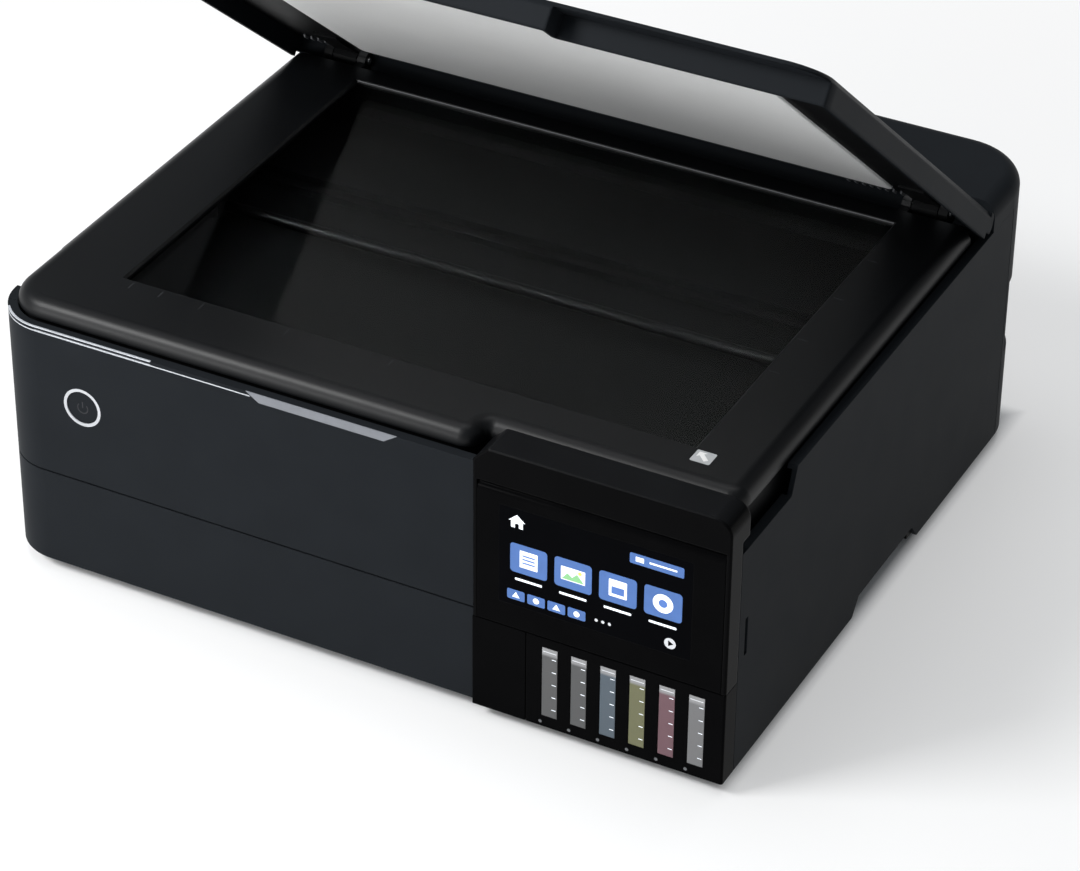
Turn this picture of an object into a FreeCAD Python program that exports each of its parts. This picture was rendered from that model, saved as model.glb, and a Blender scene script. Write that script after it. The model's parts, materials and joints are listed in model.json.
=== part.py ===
"""Ink-tank inkjet printer with a flatbed scanner, as separate pieces in one frame.

Millimetres. X runs along the front, Y from the front to the rear, Z up from the table.
The lid is drawn closed and then raised to the angle at which it rests.
"""
import FreeCAD
import Part
import math
import os

V = FreeCAD.Vector

# Overall size of the closed printer
body_width = 403.0
body_depth = 369.0
rim_height = 145.0
bed_rise = 10.0
lid_rise = 5.0
deck_rise = 1.0
shell_lift = 7.0
floor_lift = 8.0

# Walls, corners and running gaps
shell_wall = 2.5
face_wall = 3.0
rim_ledge = 5.0
rim_thick = 2.5
front_corner = 28.0
rear_corner = 36.0
right_corner = 3.0
edge_round = 1.2
hood_bevel = 0.8
seam = 0.5
touch_gap = 0.2
slide_gap = 0.3
swing_gap = 0.8
pin_gap = 0.05
pin_floor = 0.6
soft_corner = 2.0
soft_inner = 3.0
rod_sides = 12
ring_sides = 32

# Overrun of cutting tools, and tolerances for picking edges
over = 1.0
pick = 0.1
tiny = 1e-6
nearly = 0.999

# Front: fascia, fold-down cover, control panel and tank block
panel_proud = 3.0
fascia_height = 83.7
panel_width = 132.0
wrap_depth = 15.9
cover_axis_back = 10.5
cover_axis_lift = 7.0
cover_pin = 2.0
cover_lug = 5.0
lug_thick = 4.0
cover_lug_inset = 34.0
cover_open_room = 24.5

# Power button and lights on the fascia
button_inset = 53.5
button_drop = 39.3
button_r = 9.0
ring_width = 1.4
button_travel = 1.2
bar_end_gap = 41.5
bar_length = 82.0
bar_drop = 4.8
bar_slant = 7.0
lamp_depth = 0.5
strip_end = 94.5
strip_drop = 1.4

# Control panel
panel_drop = 86.0
panel_depth = 10.0
hood_rise = 1.0
hood_height = 18.0
hood_depth = 19.2
cheek = 2.3
panel_pin = 1.5
panel_wall = 2.0
panel_chamfer = 8.0
panel_round = 9.0
screen_margin_left = 13.9
screen_margin_right = 18.5
screen_margin_low = 13.6
screen_margin_high = 10.3
screen_thick = 1.5

# Tank block
trim_width = 28.3
window_start = 8.6
window_end = 10.2
window_pitch = 15.3
window_width = 8.4
window_margin_low = 6.2
window_margin_high = 5.4
block_depth = 12.0
tank_gap = 1.0
tank_drop = 3.5
tank_depth = 72.5
neck_sides = 8
neck_r = 4.5
neck_bore = 2.2
neck_height = 5.0
neck_setback = 44.5
filler_thick = 2.5
filler_setback = 20.5
filler_pin = 1.5
filler_barrel = 2.5
filler_post = 3.0

# Scanner and lid
lid_setback = 3.0
lid_side_setback = 0.3
lid_wall = 2.2
lid_plate = 2.4
lid_bevel = 3.0
lid_skirt_gap = 1.0
lid_corner_left = 25.0
lid_corner_right = 20.0
lid_clear_front = 0.8
lid_clear_side = 2.8
lid_angle = 40.1
pocket_gap = 1.0
pocket_wall = 1.6
barrel_r = 6.4
barrel_bore = 4.2
deck_depth = 62.9
deck_round = 9.0
deck_wall = 4.5
lip_gap = 0.7
lip_lean = 2.4
frame_round = 8.0
frame_corner = 22.0
frame_plate = 2.5
frame_rear_gap = 10.5
frame_chamfer = 1.2
glass_margin_left = 52.0
glass_margin_right = 42.0
glass_margin_front = 46.0
glass_margin_rear = 23.5
glass_lap = 4.5
glass_thick = 3.0
pan_drop = 19.0
pan_wall = 2.0
pan_room = 3.0
pan_rib_back = 34.5
pan_rib_pitch = 12.3
pad_lap_left = 2.5
pad_inset_right = 5.5
pad_inset_front = 9.0
pad_lap_rear = 5.0
pad_gap = 0.3
inner_panel_thick = 0.8
hinge_inset = 33.5
hinge_pin = 1.75
knuckle_r = 5.0
knuckle_gap = 0.5
body_knuckle = 5.0
frame_knuckle = 5.0
lid_knuckle = 14.0
lid_arm_reach = 34.5
frame_arm_rise = 2.0
rail_r = 3.0
bearer = 8.0
scan_bar_width = 16.0
scan_bar_height = 11.0
scan_home_gap = 8.0

# Side covers: finger notch, bottom hand-hold, catch slot, rear corner grips
notch_length = 71.0
notch_depth = 14.0
notch_slant = 6.0
hold_front = -36.5
hold_rear = 45.5
hold_height = 9.0
hold_slant = 8.0
hold_reach = 15.0
slot_setback = 20.0
slot_rise = 11.0
slot_length = 21.0
slot_width = 3.0
slot_depth = 1.2
grip_drop = 45.0
grip_height = 45.0
grip_depth = 7.0
grip_slant_low = 13.0
grip_slant_high = 6.0
grip_start = 6.0
grip_end = 62.0

# Paper path
paper_margin = 28.0
paper_side_gap = 16.0
guide_wall = 2.5
engine_drop = 85.0
cassette_setback = 29.5
cassette_end = 72.5
cassette_drop = 13.0
cassette_wall = 2.0
tray_setback = 34.5
tray_rear = 40.0
tray_drop = 9.0
tray_lip = 6.0
tray_wall = 2.0
runner_width = 5.5
runner_thick = 2.2
finger_width = 28.0
finger_depth = 11.0
platen_front = -35.0
platen_rear = 20.0
platen_thick = 6.0
rib_height = 4.0
rib_pitch = 12.0
rib_width = 2.0
shaft_rise = 8.0
feed_y = 30.0
feed_shaft_r = 3.5
exit_shaft_r = 3.0
feed_tyre_r = 7.0
exit_tyre_r = 5.5
tyre_width = 22.0
tyre_count = 2

# Gears
gear_module = 1.5
feed_teeth = 26
idler_teeth = 24
pinion_teeth = 9
gear_width = 5.0
tooth_head = 0.9
tooth_foot = 1.25
root_share = 0.33
tip_share = 0.13
half_tooth = 0.5
axle_r = 2.5

# Print engine
chassis_front = -60.0
chassis_rear = 60.0
engine_gap = 10.0
chassis_sheet = 1.5
beam_height = 32.0
flange_depth = 20.0
sheet_corner = 6.0
engine_margin = 50.0
guide_r = 4.0
guide_y = 15.0
guide_drop = 21.0
carriage_park = 7.5
carriage_width = 60.0
carriage_front = -25.0
carriage_rear = 40.0
carriage_rise = 8.0
carriage_gap = 4.0
carriage_slope = 18.0
carriage_round = 4.0
head_height = 4.5
head_inset = 6.0
head_rear = 20.0
belt_y = 49.0
belt_drop = 13.5
belt_width = 6.0
belt_thick = 1.0
pulley_r = 5.0
motor_r = 14.0
motor_length = 28.0
feed_motor_r = 7.5
motor_shaft_r = 1.5
strip_thick = 0.6
strip_height = 6.0
strip_y = 54.0
station_height = 10.5
stand_width = 71.5
stand_front = -60.0
stand_rear = 60.0
stand_skin = 2.5
waste_room = 8.5

# Rear: feed slot, paper-path cover, ports and mains inlet
feed_setback = 9.8
feed_margin = 2.0
feed_end = 14.5
feed_barrel = 5.0
feed_pin = 1.5
feed_plate = 2.2
feed_tray_drop = 3.0
feed_tray_thick = 2.0
feed_side = 3.0
edge_guide = 3.0
edge_guide_start = 4.6
edge_guide_end = 6.0
duplex_margin = 51.5
duplex_end = 39.5
duplex_drop = 7.0
duplex_height = 68.0
duplex_depth = 12.0
board_margin = 16.5
board_width = 115.0
board_drop = 25.0
board_height = 80.0
board_end = 34.5
board_thick = 1.6
post_depth = 16.0
port_rise = 2.0
usb_start = 42.0
usb_width = 12.0
usb_height = 11.0
lan_start = 64.0
lan_width = 16.0
lan_height = 13.5
port_wall = 0.8
port_hollow = 12.0
supply_margin = 21.5
supply_width = 76.0
supply_depth = 51.0
supply_end = 19.5
supply_height = 59.0
inlet_start = 28.0
inlet_width = 26.0
inlet_rise = 15.0
inlet_height = 16.0
inlet_hollow = 14.0
inlet_pin_r = 1.2
inlet_pin_pitch = 8.6

# Feet
foot_sides = 8
foot_r = 10.0
foot_inset = 36.5
foot_end = 44.5

# Places worked out from the sizes above: the body
half = body_width / 2
y_panel = -body_depth / 2
y_face = y_panel + panel_proud
y_rear = body_depth / 2
bed_height = rim_height + bed_rise
lid_top = bed_height + lid_rise
deck_top = lid_top + deck_rise
deck_under = deck_top - shell_wall
floor_top = floor_lift + face_wall
deck_y = y_rear - deck_depth
hinge_x = half - hinge_inset
hinge_y = deck_y - lip_gap - barrel_r
hinge_z = lid_top - barrel_r
foot_x = half - foot_inset
foot_y = y_rear - foot_end

# Places on the front
panel_left = half - panel_width
panel_seam_height = rim_height - panel_drop
front_seam_height = rim_height - fascia_height
wrap_y = y_face + wrap_depth
cover_y = y_face + cover_axis_back
cover_z = shell_lift + cover_axis_lift
button_x = -half + button_inset
button_z = rim_height - button_drop
bar_right = panel_left - bar_end_gap
bar_left = bar_right - bar_length
strip_right = -half + strip_end
panel_top = bed_height + hood_rise
panel_split = panel_top - hood_height
cap_rear = y_panel + hood_depth
screen_left = panel_left + screen_margin_left
screen_right = half - screen_margin_right
screen_low = panel_seam_height + screen_margin_low
screen_high = panel_split - screen_margin_high
trim_right = panel_left + trim_width
window_low = shell_lift + window_margin_low
window_high = panel_seam_height - window_margin_high
tank_first = trim_right + window_start + window_width / 2
tank_last = half - window_end - window_width / 2
tank_count = int((tank_last - tank_first) / window_pitch + tiny) + 1
tank_width = window_pitch - tank_gap
tank_top = panel_seam_height - tank_drop
tank_back = y_panel + tank_depth
neck_y = y_panel + neck_setback
filler_front = y_panel + filler_setback

# Places of the scanner and the lid
lid_front = y_face + lid_setback
lid_half = half - lid_side_setback
skirt_low = rim_height + lid_skirt_gap
frame_front = lid_front + lid_wall + lid_clear_front
frame_half = lid_half - lid_wall - lid_clear_side
frame_rear = hinge_y - frame_rear_gap
frame_edge = min(frame_round, bed_height - skirt_low - seam)
pocket_rear = cap_rear + seam
pocket_left = panel_left - pocket_gap
frame_notch_y = pocket_rear + pocket_wall + seam
frame_notch_x = pocket_left - lid_wall - swing_gap
frame_under = bed_height - frame_plate
frame_roof = frame_under - frame_edge / 2
pan_floor = rim_height - pan_drop
pan_inset = shell_wall + touch_gap
pan_half = frame_half - pan_inset
glass_low = frame_under - glass_thick
glass_left = -half + glass_margin_left
glass_right = half - glass_margin_right
glass_front = y_face + glass_margin_front
glass_rear = hinge_y - glass_margin_rear
pad_left = glass_left - pad_lap_left
pad_right = glass_right - pad_inset_right
pad_front = glass_front + pad_inset_front
pad_rear = glass_rear + pad_lap_rear
rail_y = (glass_front + glass_rear) / 2
rail_z = pan_floor + pan_wall + 1.5 * rail_r

# Places on the sides
notch_rear = y_panel + notch_length
notch_low = rim_height - notch_depth
slot_y = y_panel + slot_setback
slot_low = panel_seam_height + slot_rise
slot_high = slot_low + slot_length
grip_high = rim_height - grip_drop
grip_low = grip_high - grip_height

# Places along the paper path and in the print engine
paper_left = -half + paper_margin
paper_right = panel_left - paper_side_gap
paper_mid = (paper_left + paper_right) / 2
guide_height = rim_height - engine_drop
cassette_front = y_face + cassette_setback
cassette_rear = y_rear - cassette_end
cassette_top = guide_height - cassette_drop
tray_front = y_face + tray_setback
tray_low = guide_height - tray_drop
shaft_height = guide_height + shaft_rise
idler_y = feed_y - gear_module * (feed_teeth + idler_teeth) / 2
exit_y = idler_y - gear_module * (feed_teeth + idler_teeth) / 2
pinion_y = feed_y + gear_module * (feed_teeth + pinion_teeth) / 2
engine_left = paper_left - guide_wall
engine_right = half - engine_margin
chassis_top = pan_floor - engine_gap
beam_low = chassis_top - beam_height
guide_z = chassis_top - guide_drop
carriage_left = engine_right - carriage_park - carriage_width
carriage_low = shaft_height + carriage_rise
carriage_high = chassis_top - carriage_gap
belt_z = chassis_top - belt_drop
idler_pulley_x = engine_left + 3 * pulley_r
motor_pulley_x = engine_right - 3 * pulley_r
stand_left = engine_right - stand_width
waste_top = guide_height - stand_skin - waste_room

# Places at the rear
feed_front = deck_y + feed_setback
feed_axis_y = y_rear - feed_end
feed_axis_z = deck_top - feed_barrel
feed_tray_low = rim_height - feed_tray_drop
edge_guide_front = feed_front + edge_guide_start
edge_guide_rear = feed_axis_y - edge_guide_end
duplex_left = -half + duplex_margin
duplex_right = panel_left - duplex_end
duplex_high = rim_height - duplex_drop
duplex_low = duplex_high - duplex_height
board_right = half - board_margin
board_left = board_right - board_width
board_high = rim_height - board_drop
board_low = board_high - board_height
board_y = y_rear - board_end
port_low = board_low + port_rise
usb_left = board_left + usb_start
lan_left = board_left + lan_start
supply_left = -half + supply_margin
supply_right = supply_left + supply_width
supply_rear = y_rear - supply_end
supply_front = supply_rear - supply_depth
supply_high = floor_top + supply_height
inlet_left = supply_left + inlet_start
inlet_right = inlet_left + inlet_width
inlet_low = floor_top + inlet_rise
inlet_high = inlet_low + inlet_height


def box(x0, x1, y0, y1, z0, z1):
    return Part.makeBox(x1 - x0, y1 - y0, z1 - z0, V(x0, y0, z0))


def roller_x(x0, x1, y, z, r):
    """True cylinder along X, for rollers, shafts and rounded edges."""
    return Part.makeCylinder(r, x1 - x0, V(x0, y, z), V(1, 0, 0))


def many_sided(u, v, r, sides):
    """Corners of a regular outline on a circle of radius r."""
    step = 2 * math.pi / sides
    turns = [(i + 0.5) * step for i in range(sides)]
    return [(u + r * math.cos(a), v + r * math.sin(a), 0) for a in turns]


def rod_x(x0, x1, y, z, r):
    """Small pin, knuckle or boss along X, with few flat sides inside radius r."""
    return side_prism(many_sided(y, z, r, rod_sides), x0, x1)


def bore_x(x0, x1, y, z, r):
    """Bore along X for a small pin, with few flat sides outside radius r."""
    return rod_x(x0, x1, y, z, r / math.cos(math.pi / rod_sides))


def rod_y(x, y0, y1, z, r, sides):
    return front_prism(many_sided(x, z, r, sides), y0, y1)


def fuse(first, *others):
    shape = first.multiFuse(list(others)) if others else first
    return shape.removeSplitter()


def cut(shape, *tools):
    return shape.cut(list(tools)) if tools else shape


def common(shape, tool):
    return shape.common(tool)


def rounded_face(corners, place):
    """Face of a polygon whose corners (u, v, radius) are rounded; place maps (u, v) to a point."""
    edges = []
    starts = []
    ends = []
    arcs = []
    count = len(corners)
    for i in range(count):
        u, v, r = corners[i]
        pu, pv = corners[i - 1][0] - u, corners[i - 1][1] - v
        nu, nv = corners[(i + 1) % count][0] - u, corners[(i + 1) % count][1] - v
        pl, nl = math.hypot(pu, pv), math.hypot(nu, nv)
        pu, pv, nu, nv = pu / pl, pv / pl, nu / nl, nv / nl
        half_angle = math.acos(max(-1, min(1, pu * nu + pv * nv))) / 2
        back = r / math.tan(half_angle)
        starts.append((u + pu * back, v + pv * back))
        ends.append((u + nu * back, v + nv * back))
        mu, mv = pu + nu, pv + nv
        ml = math.hypot(mu, mv)
        reach = r / math.sin(half_angle) - r
        arcs.append((u + mu / ml * reach, v + mv / ml * reach) if r > 0 else None)
    for i in range(count):
        if arcs[i]:
            points = [place(*p) for p in (starts[i], arcs[i], ends[i])]
            edges.append(Part.Arc(*points).toShape())
        a, b = place(*ends[i]), place(*starts[(i + 1) % count])
        if a.distanceToPoint(b) > tiny:
            edges.append(Part.LineSegment(a, b).toShape())
    return Part.Face(Part.Wire(edges))


def prism(corners, z0, z1):
    """Upright prism on a rounded plan outline."""
    return rounded_face(corners, lambda u, v: V(u, v, z0)).extrude(V(0, 0, z1 - z0))


def flat_sided(x, y, z0, z1, r, sides):
    """Upright prism with flat sides; r reaches to the middle of each side."""
    return prism(many_sided(x, y, r / math.cos(math.pi / sides), sides), z0, z1)


def side_prism(corners, x0, x1):
    """Prism along X on a rounded side outline (y, z, radius)."""
    return rounded_face(corners, lambda u, v: V(x0, u, v)).extrude(V(x1 - x0, 0, 0))


def front_prism(corners, y0, y1):
    """Prism along Y on a rounded front outline (x, z, radius)."""
    return rounded_face(corners, lambda u, v: V(u, y0, v)).extrude(V(0, y1 - y0, 0))


def body_prism(inset, z0, z1):
    """Prism on the printer's plan outline, drawn in by inset."""
    x, y0, y1 = half - inset, y_face + inset, y_rear - inset
    return prism([(-x, y0, front_corner - inset), (x, y0, max(right_corner - inset, touch_gap)),
                  (x, y1, rear_corner - inset), (-x, y1, rear_corner - inset)], z0, z1)


def body_ring(inset0, inset1, z0, z1):
    return cut(body_prism(inset0, z0, z1), body_prism(inset1, z0 - over, z1 + over))


def rounded(shape, radius, keep):
    """Fillet the edges whose midpoint and bounding box satisfy keep."""
    edges = [e for e in shape.Edges if keep(e.CenterOfMass, e.BoundBox)]
    return shape.makeFillet(radius, edges)


def beveled(shape, size, keep):
    edges = [e for e in shape.Edges if keep(e.CenterOfMass, e.BoundBox)]
    return shape.makeChamfer(size, edges)


def raised(shape):
    """Turn a piece of the lid from closed to its resting angle."""
    turned = shape.copy()
    turned.rotate(V(0, hinge_y, hinge_z), V(1, 0, 0), -lid_angle)
    return turned


def gear_x(x0, x1, y, z, teeth, first):
    """Spur gear along X; first is the angle, in tooth pitches, of its first tooth."""
    pitch_r = gear_module * teeth / 2
    tip, root = pitch_r + tooth_head * gear_module, pitch_r - tooth_foot * gear_module
    step = 2 * math.pi / teeth
    points = []
    for i in range(teeth):
        middle = (i + first) * step
        for radius, share in ((root, -root_share), (tip, -tip_share), (tip, tip_share), (root, root_share)):
            angle = middle + share * step
            points.append(V(x0, y + radius * math.cos(angle), z + radius * math.sin(angle)))
    points.append(points[0])
    return Part.Face(Part.makePolygon(points)).extrude(V(x1 - x0, 0, 0))


def save(name, *solids):
    shape = solids[0] if len(solids) == 1 else Part.makeCompound(list(solids))
    shape.exportStep("parts/" + name + ".step")


# Base tray with the paper guides, cover hinge ears, stand and posts
def base_tray():
    """Floor with all that stands on it; the pieces run on into the floor so that they fuse."""
    inner_front = cover_y + cover_open_room - cover_axis_back
    x, y1 = half - shell_wall, y_rear - shell_wall
    floor = prism([(-x, inner_front, cover_lug), (panel_left - seam, inner_front, 0),
                   (panel_left - seam, y_panel + block_depth, 0), (x, y_panel + block_depth, 0),
                   (x, y1, rear_corner), (-x, y1, rear_corner)], floor_lift, floor_top)
    pieces = [cut(floor, hold_cup(1, 0), hold_cup(-1, 0)), hold_cup(1, shell_wall), hold_cup(-1, shell_wall)]
    for x in (paper_left - guide_wall, paper_right):
        pieces.append(box(x, x + guide_wall, inner_front, cassette_rear, floor_lift, guide_height))
    runner_top = tray_low - slide_gap
    for x in (paper_left, paper_right - runner_width):
        pieces.append(box(x, x + runner_width, inner_front, tray_rear,
                          runner_top - runner_thick, runner_top))
    for x in cover_ear_places():
        ear = fuse(rod_x(x, x + lug_thick, cover_y, cover_z, cover_lug),
                   box(x, x + lug_thick, cover_y, inner_front + guide_wall, cover_z - cover_lug,
                       cover_z + cover_lug))
        bore = bore_x(x - over, x + lug_thick + over, cover_y, cover_z, cover_pin + pin_gap)
        pieces.append(cut(ear, bore))
    stand = box(stand_left, engine_right, stand_front, stand_rear, floor_lift, guide_height)
    tunnel = box(stand_left + stand_skin, engine_right - stand_skin, stand_front - over, stand_rear + over,
                 floor_top, guide_height - stand_skin)
    pieces.append(cut(stand, tunnel))
    for x in (board_left, board_right - guide_wall):
        pieces.append(box(x, x + guide_wall, board_y - post_depth, board_y, floor_lift, board_high))
    for x in filler_post_places():
        post = box(x, x + filler_post, tank_back - filler_post, tank_back + 3 * filler_post, floor_lift,
                   filler_axis()[1] + filler_barrel)
        bore = bore_x(x - over, x + filler_post + over, *filler_axis(), filler_pin + pin_gap)
        pieces.append(cut(post, bore))
    return fuse(*pieces)


def hold_cup(sign, wall):
    """Cup behind a bottom hand-hold; wall 0 gives the room inside it."""
    y0, y1 = hold_front + hold_slant, hold_rear - hold_slant
    inner, outer = half - shell_wall - hold_reach, half - shell_wall
    top = shell_lift + hold_height

    def block(grow, low):
        return box(min(sign * (inner - grow), sign * outer), max(sign * (inner - grow), sign * outer),
                   y0 - grow, y1 + grow, low, top + grow)
    if not wall:
        return block(0, floor_lift - over)
    return cut(block(wall, floor_lift), block(0, floor_lift - over))


def cover_ear_places():
    left = -half + cover_lug_inset
    right = panel_left - cover_lug_inset / 2 - lug_thick
    return left, right


def filler_axis():
    return tank_back + filler_post / 2, tank_top + neck_height + filler_barrel + touch_gap


def filler_post_places():
    left = tank_first - tank_width / 2 - filler_post - seam
    right = tank_first + (tank_count - 1) * window_pitch + tank_width / 2 + seam
    return left, right


def rubber_feet():
    return [flat_sided(sx * foot_x, sy * foot_y, 0, floor_lift, foot_r, foot_sides)
            for sx in (-1, 1) for sy in (-1, 1)]


# Outer shells
def side_cover(sign, y0):
    """Side wall with its rim ledge, finger notch and bottom hand-hold; sign is -1 for the left."""
    y1 = y_rear - rear_corner
    zone = box(min(0, sign * body_width), max(0, sign * body_width), y0, y1, 0, deck_top)
    wall = common(body_ring(0, shell_wall, shell_lift, rim_height), zone)
    ledge = common(body_ring(0, rim_ledge, rim_height - rim_thick, rim_height), zone)
    shell = fuse(wall, ledge)
    x0, x1 = half - rim_ledge - over, half + over
    notch_front = y_face + front_corner if sign < 0 else y0 - over
    notch = side_prism([(notch_front, notch_low, 0), (notch_rear - notch_slant, notch_low, soft_corner),
                        (notch_rear, rim_height + over, 0), (notch_front, rim_height + over, 0)],
                       min(sign * x0, sign * x1), max(sign * x0, sign * x1))
    hold = side_prism([(hold_front, shell_lift - over, 0), (hold_rear, shell_lift - over, 0),
                       (hold_rear - hold_slant, shell_lift + hold_height, soft_corner),
                       (hold_front + hold_slant, shell_lift + hold_height, soft_corner)],
                      min(sign * x0, sign * x1), max(sign * x0, sign * x1))
    shell = cut(shell, notch, hold)
    shelf = box(min(sign * (half - rim_ledge), sign * (half - shell_wall)),
                max(sign * (half - rim_ledge), sign * (half - shell_wall)),
                max(notch_front, y0), notch_rear - notch_slant, notch_low - shell_wall, notch_low)
    return fuse(shell, shelf)


def right_side_cover():
    shell = side_cover(1, y_panel + block_depth + seam)
    slot = box(half - slot_depth, half + over, slot_y - slot_width / 2, slot_y + slot_width / 2, slot_low,
               slot_high)
    return cut(shell, slot)


def grip_pocket(sign):
    """Hand grip round a rear corner, as a tapered groove turned about the corner's centre."""
    r0, r1 = rear_corner - grip_depth, rear_corner + over
    profile = [V(r1, 0, grip_high), V(r0, 0, grip_high - grip_slant_high),
               V(r0, 0, grip_low + grip_slant_low), V(r1, 0, grip_low), V(r1, 0, grip_high)]
    sector = Part.Face(Part.makePolygon(profile)).revolve(V(0, 0, 0), V(0, 0, 1), grip_end - grip_start)
    sector.rotate(V(0, 0, 0), V(0, 0, 1), grip_start)
    if sign < 0:
        sector = sector.mirror(V(0, 0, 0), V(1, 0, 0))
    sector.translate(V(sign * (half - rear_corner), y_rear - rear_corner, 0))
    return sector


def rear_cover():
    y0 = y_rear - rear_corner + seam
    zone = box(-body_width, body_width, y0, body_depth, 0, deck_top)
    wall = common(body_ring(0, shell_wall, shell_lift, rim_height), zone)
    lining = common(body_ring(shell_wall, grip_depth + shell_wall, grip_low - shell_wall,
                              grip_high + shell_wall), zone)
    middle = half - rear_corner
    shell = fuse(wall, cut(lining, box(-middle, middle, 0, body_depth, 0, deck_top)))
    shell = cut(shell, grip_pocket(1), grip_pocket(-1))
    openings = [
        box(duplex_left - seam, duplex_right + seam, y_rear - 2 * duplex_depth, y_rear + over,
            duplex_low - seam, duplex_high + seam),
        box(usb_left - touch_gap, usb_left + usb_width + touch_gap, board_y, y_rear + over,
            port_low - touch_gap, port_low + usb_height + touch_gap),
        box(lan_left - touch_gap, lan_left + lan_width + touch_gap, board_y, y_rear + over,
            port_low - touch_gap, port_low + lan_height + touch_gap),
        box(inlet_left - touch_gap, inlet_right + touch_gap, board_y, y_rear + over,
            inlet_low - touch_gap, inlet_high + touch_gap)]
    return cut(shell, *openings)


def rear_top_cover():
    """Deck behind the lid, rounded on top, with the rear feed opening and a leaning front lip."""
    zone = box(-body_width, body_width, deck_y, body_depth, 0, deck_top + over)
    solid = common(body_prism(0, rim_height, deck_top), zone)
    solid = rounded(solid, deck_round, lambda c, b: b.ZMin > deck_top - pick and c.y > deck_y + over)
    hollow = common(body_prism(deck_wall, rim_height - over, deck_under),
                    box(-body_width, body_width, deck_y + shell_wall + lip_lean, body_depth, 0, deck_top))
    lip = side_prism([(deck_y - over, hinge_z, 0), (deck_y, hinge_z, 0),
                      (deck_y + lip_lean, deck_top + over, 0), (deck_y - over, deck_top + over, 0)],
                     -half - over, half + over)
    slot = box(paper_left - feed_margin, paper_right + feed_margin, feed_front,
               feed_axis_y + feed_barrel + seam, deck_under - deck_round, deck_top + over)
    reach = half - rim_ledge - seam
    wall = box(-reach, reach, deck_y, deck_y + shell_wall, hinge_z - 4 * knuckle_r, rim_height + over)
    return cut(fuse(solid, wall), hollow, lip, slot)


def front_fascia():
    zone = box(-body_width, panel_left - seam, y_panel - over, wrap_y, 0, deck_top)
    low = front_seam_height + seam
    wall = common(body_ring(0, face_wall, low, rim_height), zone)
    ledge = common(body_ring(0, rim_ledge, rim_height - rim_thick, rim_height), zone)
    shell = fuse(wall, ledge)
    hole = rod_y(button_x, y_panel, y_face + face_wall + over, button_z, button_r + touch_gap, ring_sides)
    ring = rod_y(button_x, y_face - over, y_face + lamp_depth, button_z,
                 button_r + touch_gap + ring_width, ring_sides)
    shell = cut(shell, hole, ring, light_bar(0), light_strip(0))
    return shell


def light_bar(gap):
    """Status light: a shallow bar under the rim with slanted ends; gap draws its outline in."""
    low = rim_height - bar_drop + gap
    outline = [(bar_left + gap, rim_height, 0), (bar_left + bar_slant + gap, low, 0),
               (bar_right - bar_slant - gap, low, 0), (bar_right - gap, rim_height, 0)]
    return front_prism(outline, y_face - (0 if gap else over), y_face + lamp_depth)


def light_strip(gap):
    """Thin light line along the rim from the left corner."""
    left = -half + front_corner
    return box(left + gap, strip_right - gap, y_face - (0 if gap else over), y_face + lamp_depth,
               rim_height - 2 * strip_drop + gap, rim_height - strip_drop - gap)


def front_cover():
    zone = box(-body_width, panel_left - seam, y_panel - over, wrap_y - seam, 0, deck_top)
    shell = common(body_ring(0, face_wall, shell_lift + seam, front_seam_height - seam), zone)
    turn_r = wrap_y - seam - cover_y
    heel = cut(box(-half - over, -half + front_corner, cover_y, wrap_y, shell_lift, cover_z),
               roller_x(-half - 2 * over, -half + front_corner + over, cover_y, cover_z, turn_r))
    shell = cut(shell, heel)
    stiff = box(-half + front_corner + rim_ledge, panel_left - 2 * rim_ledge, y_face + face_wall,
                y_face + 2 * face_wall, front_seam_height - 3 * seam - face_wall,
                front_seam_height - 3 * seam)
    pieces = [shell, stiff]
    for x in cover_ear_places():
        x0 = x + lug_thick + touch_gap
        lug = fuse(rod_x(x0, x0 + lug_thick, cover_y, cover_z, cover_lug),
                   box(x0, x0 + lug_thick, y_face + face_wall, cover_y, cover_z - cover_lug,
                       cover_z + cover_lug),
                   rod_x(x, x0 + over, cover_y, cover_z, cover_pin))
        pieces.append(lug)
    return fuse(*pieces)


def power_button():
    """Round cap on a square plate that keeps it behind the fascia."""
    cap = rod_y(button_x, y_face + lamp_depth, y_face + 2 * face_wall, button_z, button_r - touch_gap,
                ring_sides)
    reach = button_r + ring_width
    plate_front = y_face + face_wall + button_travel / 2
    plate = box(button_x - reach, button_x + reach, plate_front, plate_front + over,
                button_z - reach, button_z + reach)
    return fuse(cap, plate)


def power_light_ring():
    ring = rod_y(button_x, y_face, y_face + lamp_depth, button_z, button_r + ring_width + touch_gap,
                 ring_sides)
    return cut(ring, rod_y(button_x, y_face - over, y_face + over, button_z, button_r, ring_sides))


# Control panel and tank block
def panel_axis():
    return y_panel + panel_depth / 2, panel_split - seam - panel_depth / 2


def panel_frame():
    """Fixed hood over the control panel with a cheek at each end that holds the panel's pins."""
    low = panel_seam_height + seam / 2
    hood = front_prism([(panel_left, panel_split, 0), (half, panel_split, 0), (half, panel_top, panel_round),
                        (panel_left + panel_chamfer, panel_top, soft_corner),
                        (panel_left, panel_top - panel_chamfer, soft_corner)],
                       y_panel, cap_rear)
    hollow = box(panel_left + cheek, half - cheek, y_panel + shell_wall, cap_rear - shell_wall,
                 panel_split - over, panel_top - panel_chamfer)
    pieces = [cut(hood, hollow)]
    for x in (panel_left, half - cheek):
        pieces.append(box(x, x + cheek, y_panel, y_panel + block_depth, low, panel_split))
    frame = fuse(*pieces)
    y, z = panel_axis()
    blind = bore_x(panel_left + pin_floor, half - pin_floor, y, z, panel_pin + pin_gap)
    frame = cut(frame, blind)
    return beveled(frame, hood_bevel, lambda c, b: abs(c.y - y_panel) < pick and c.z > panel_top - over)


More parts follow.
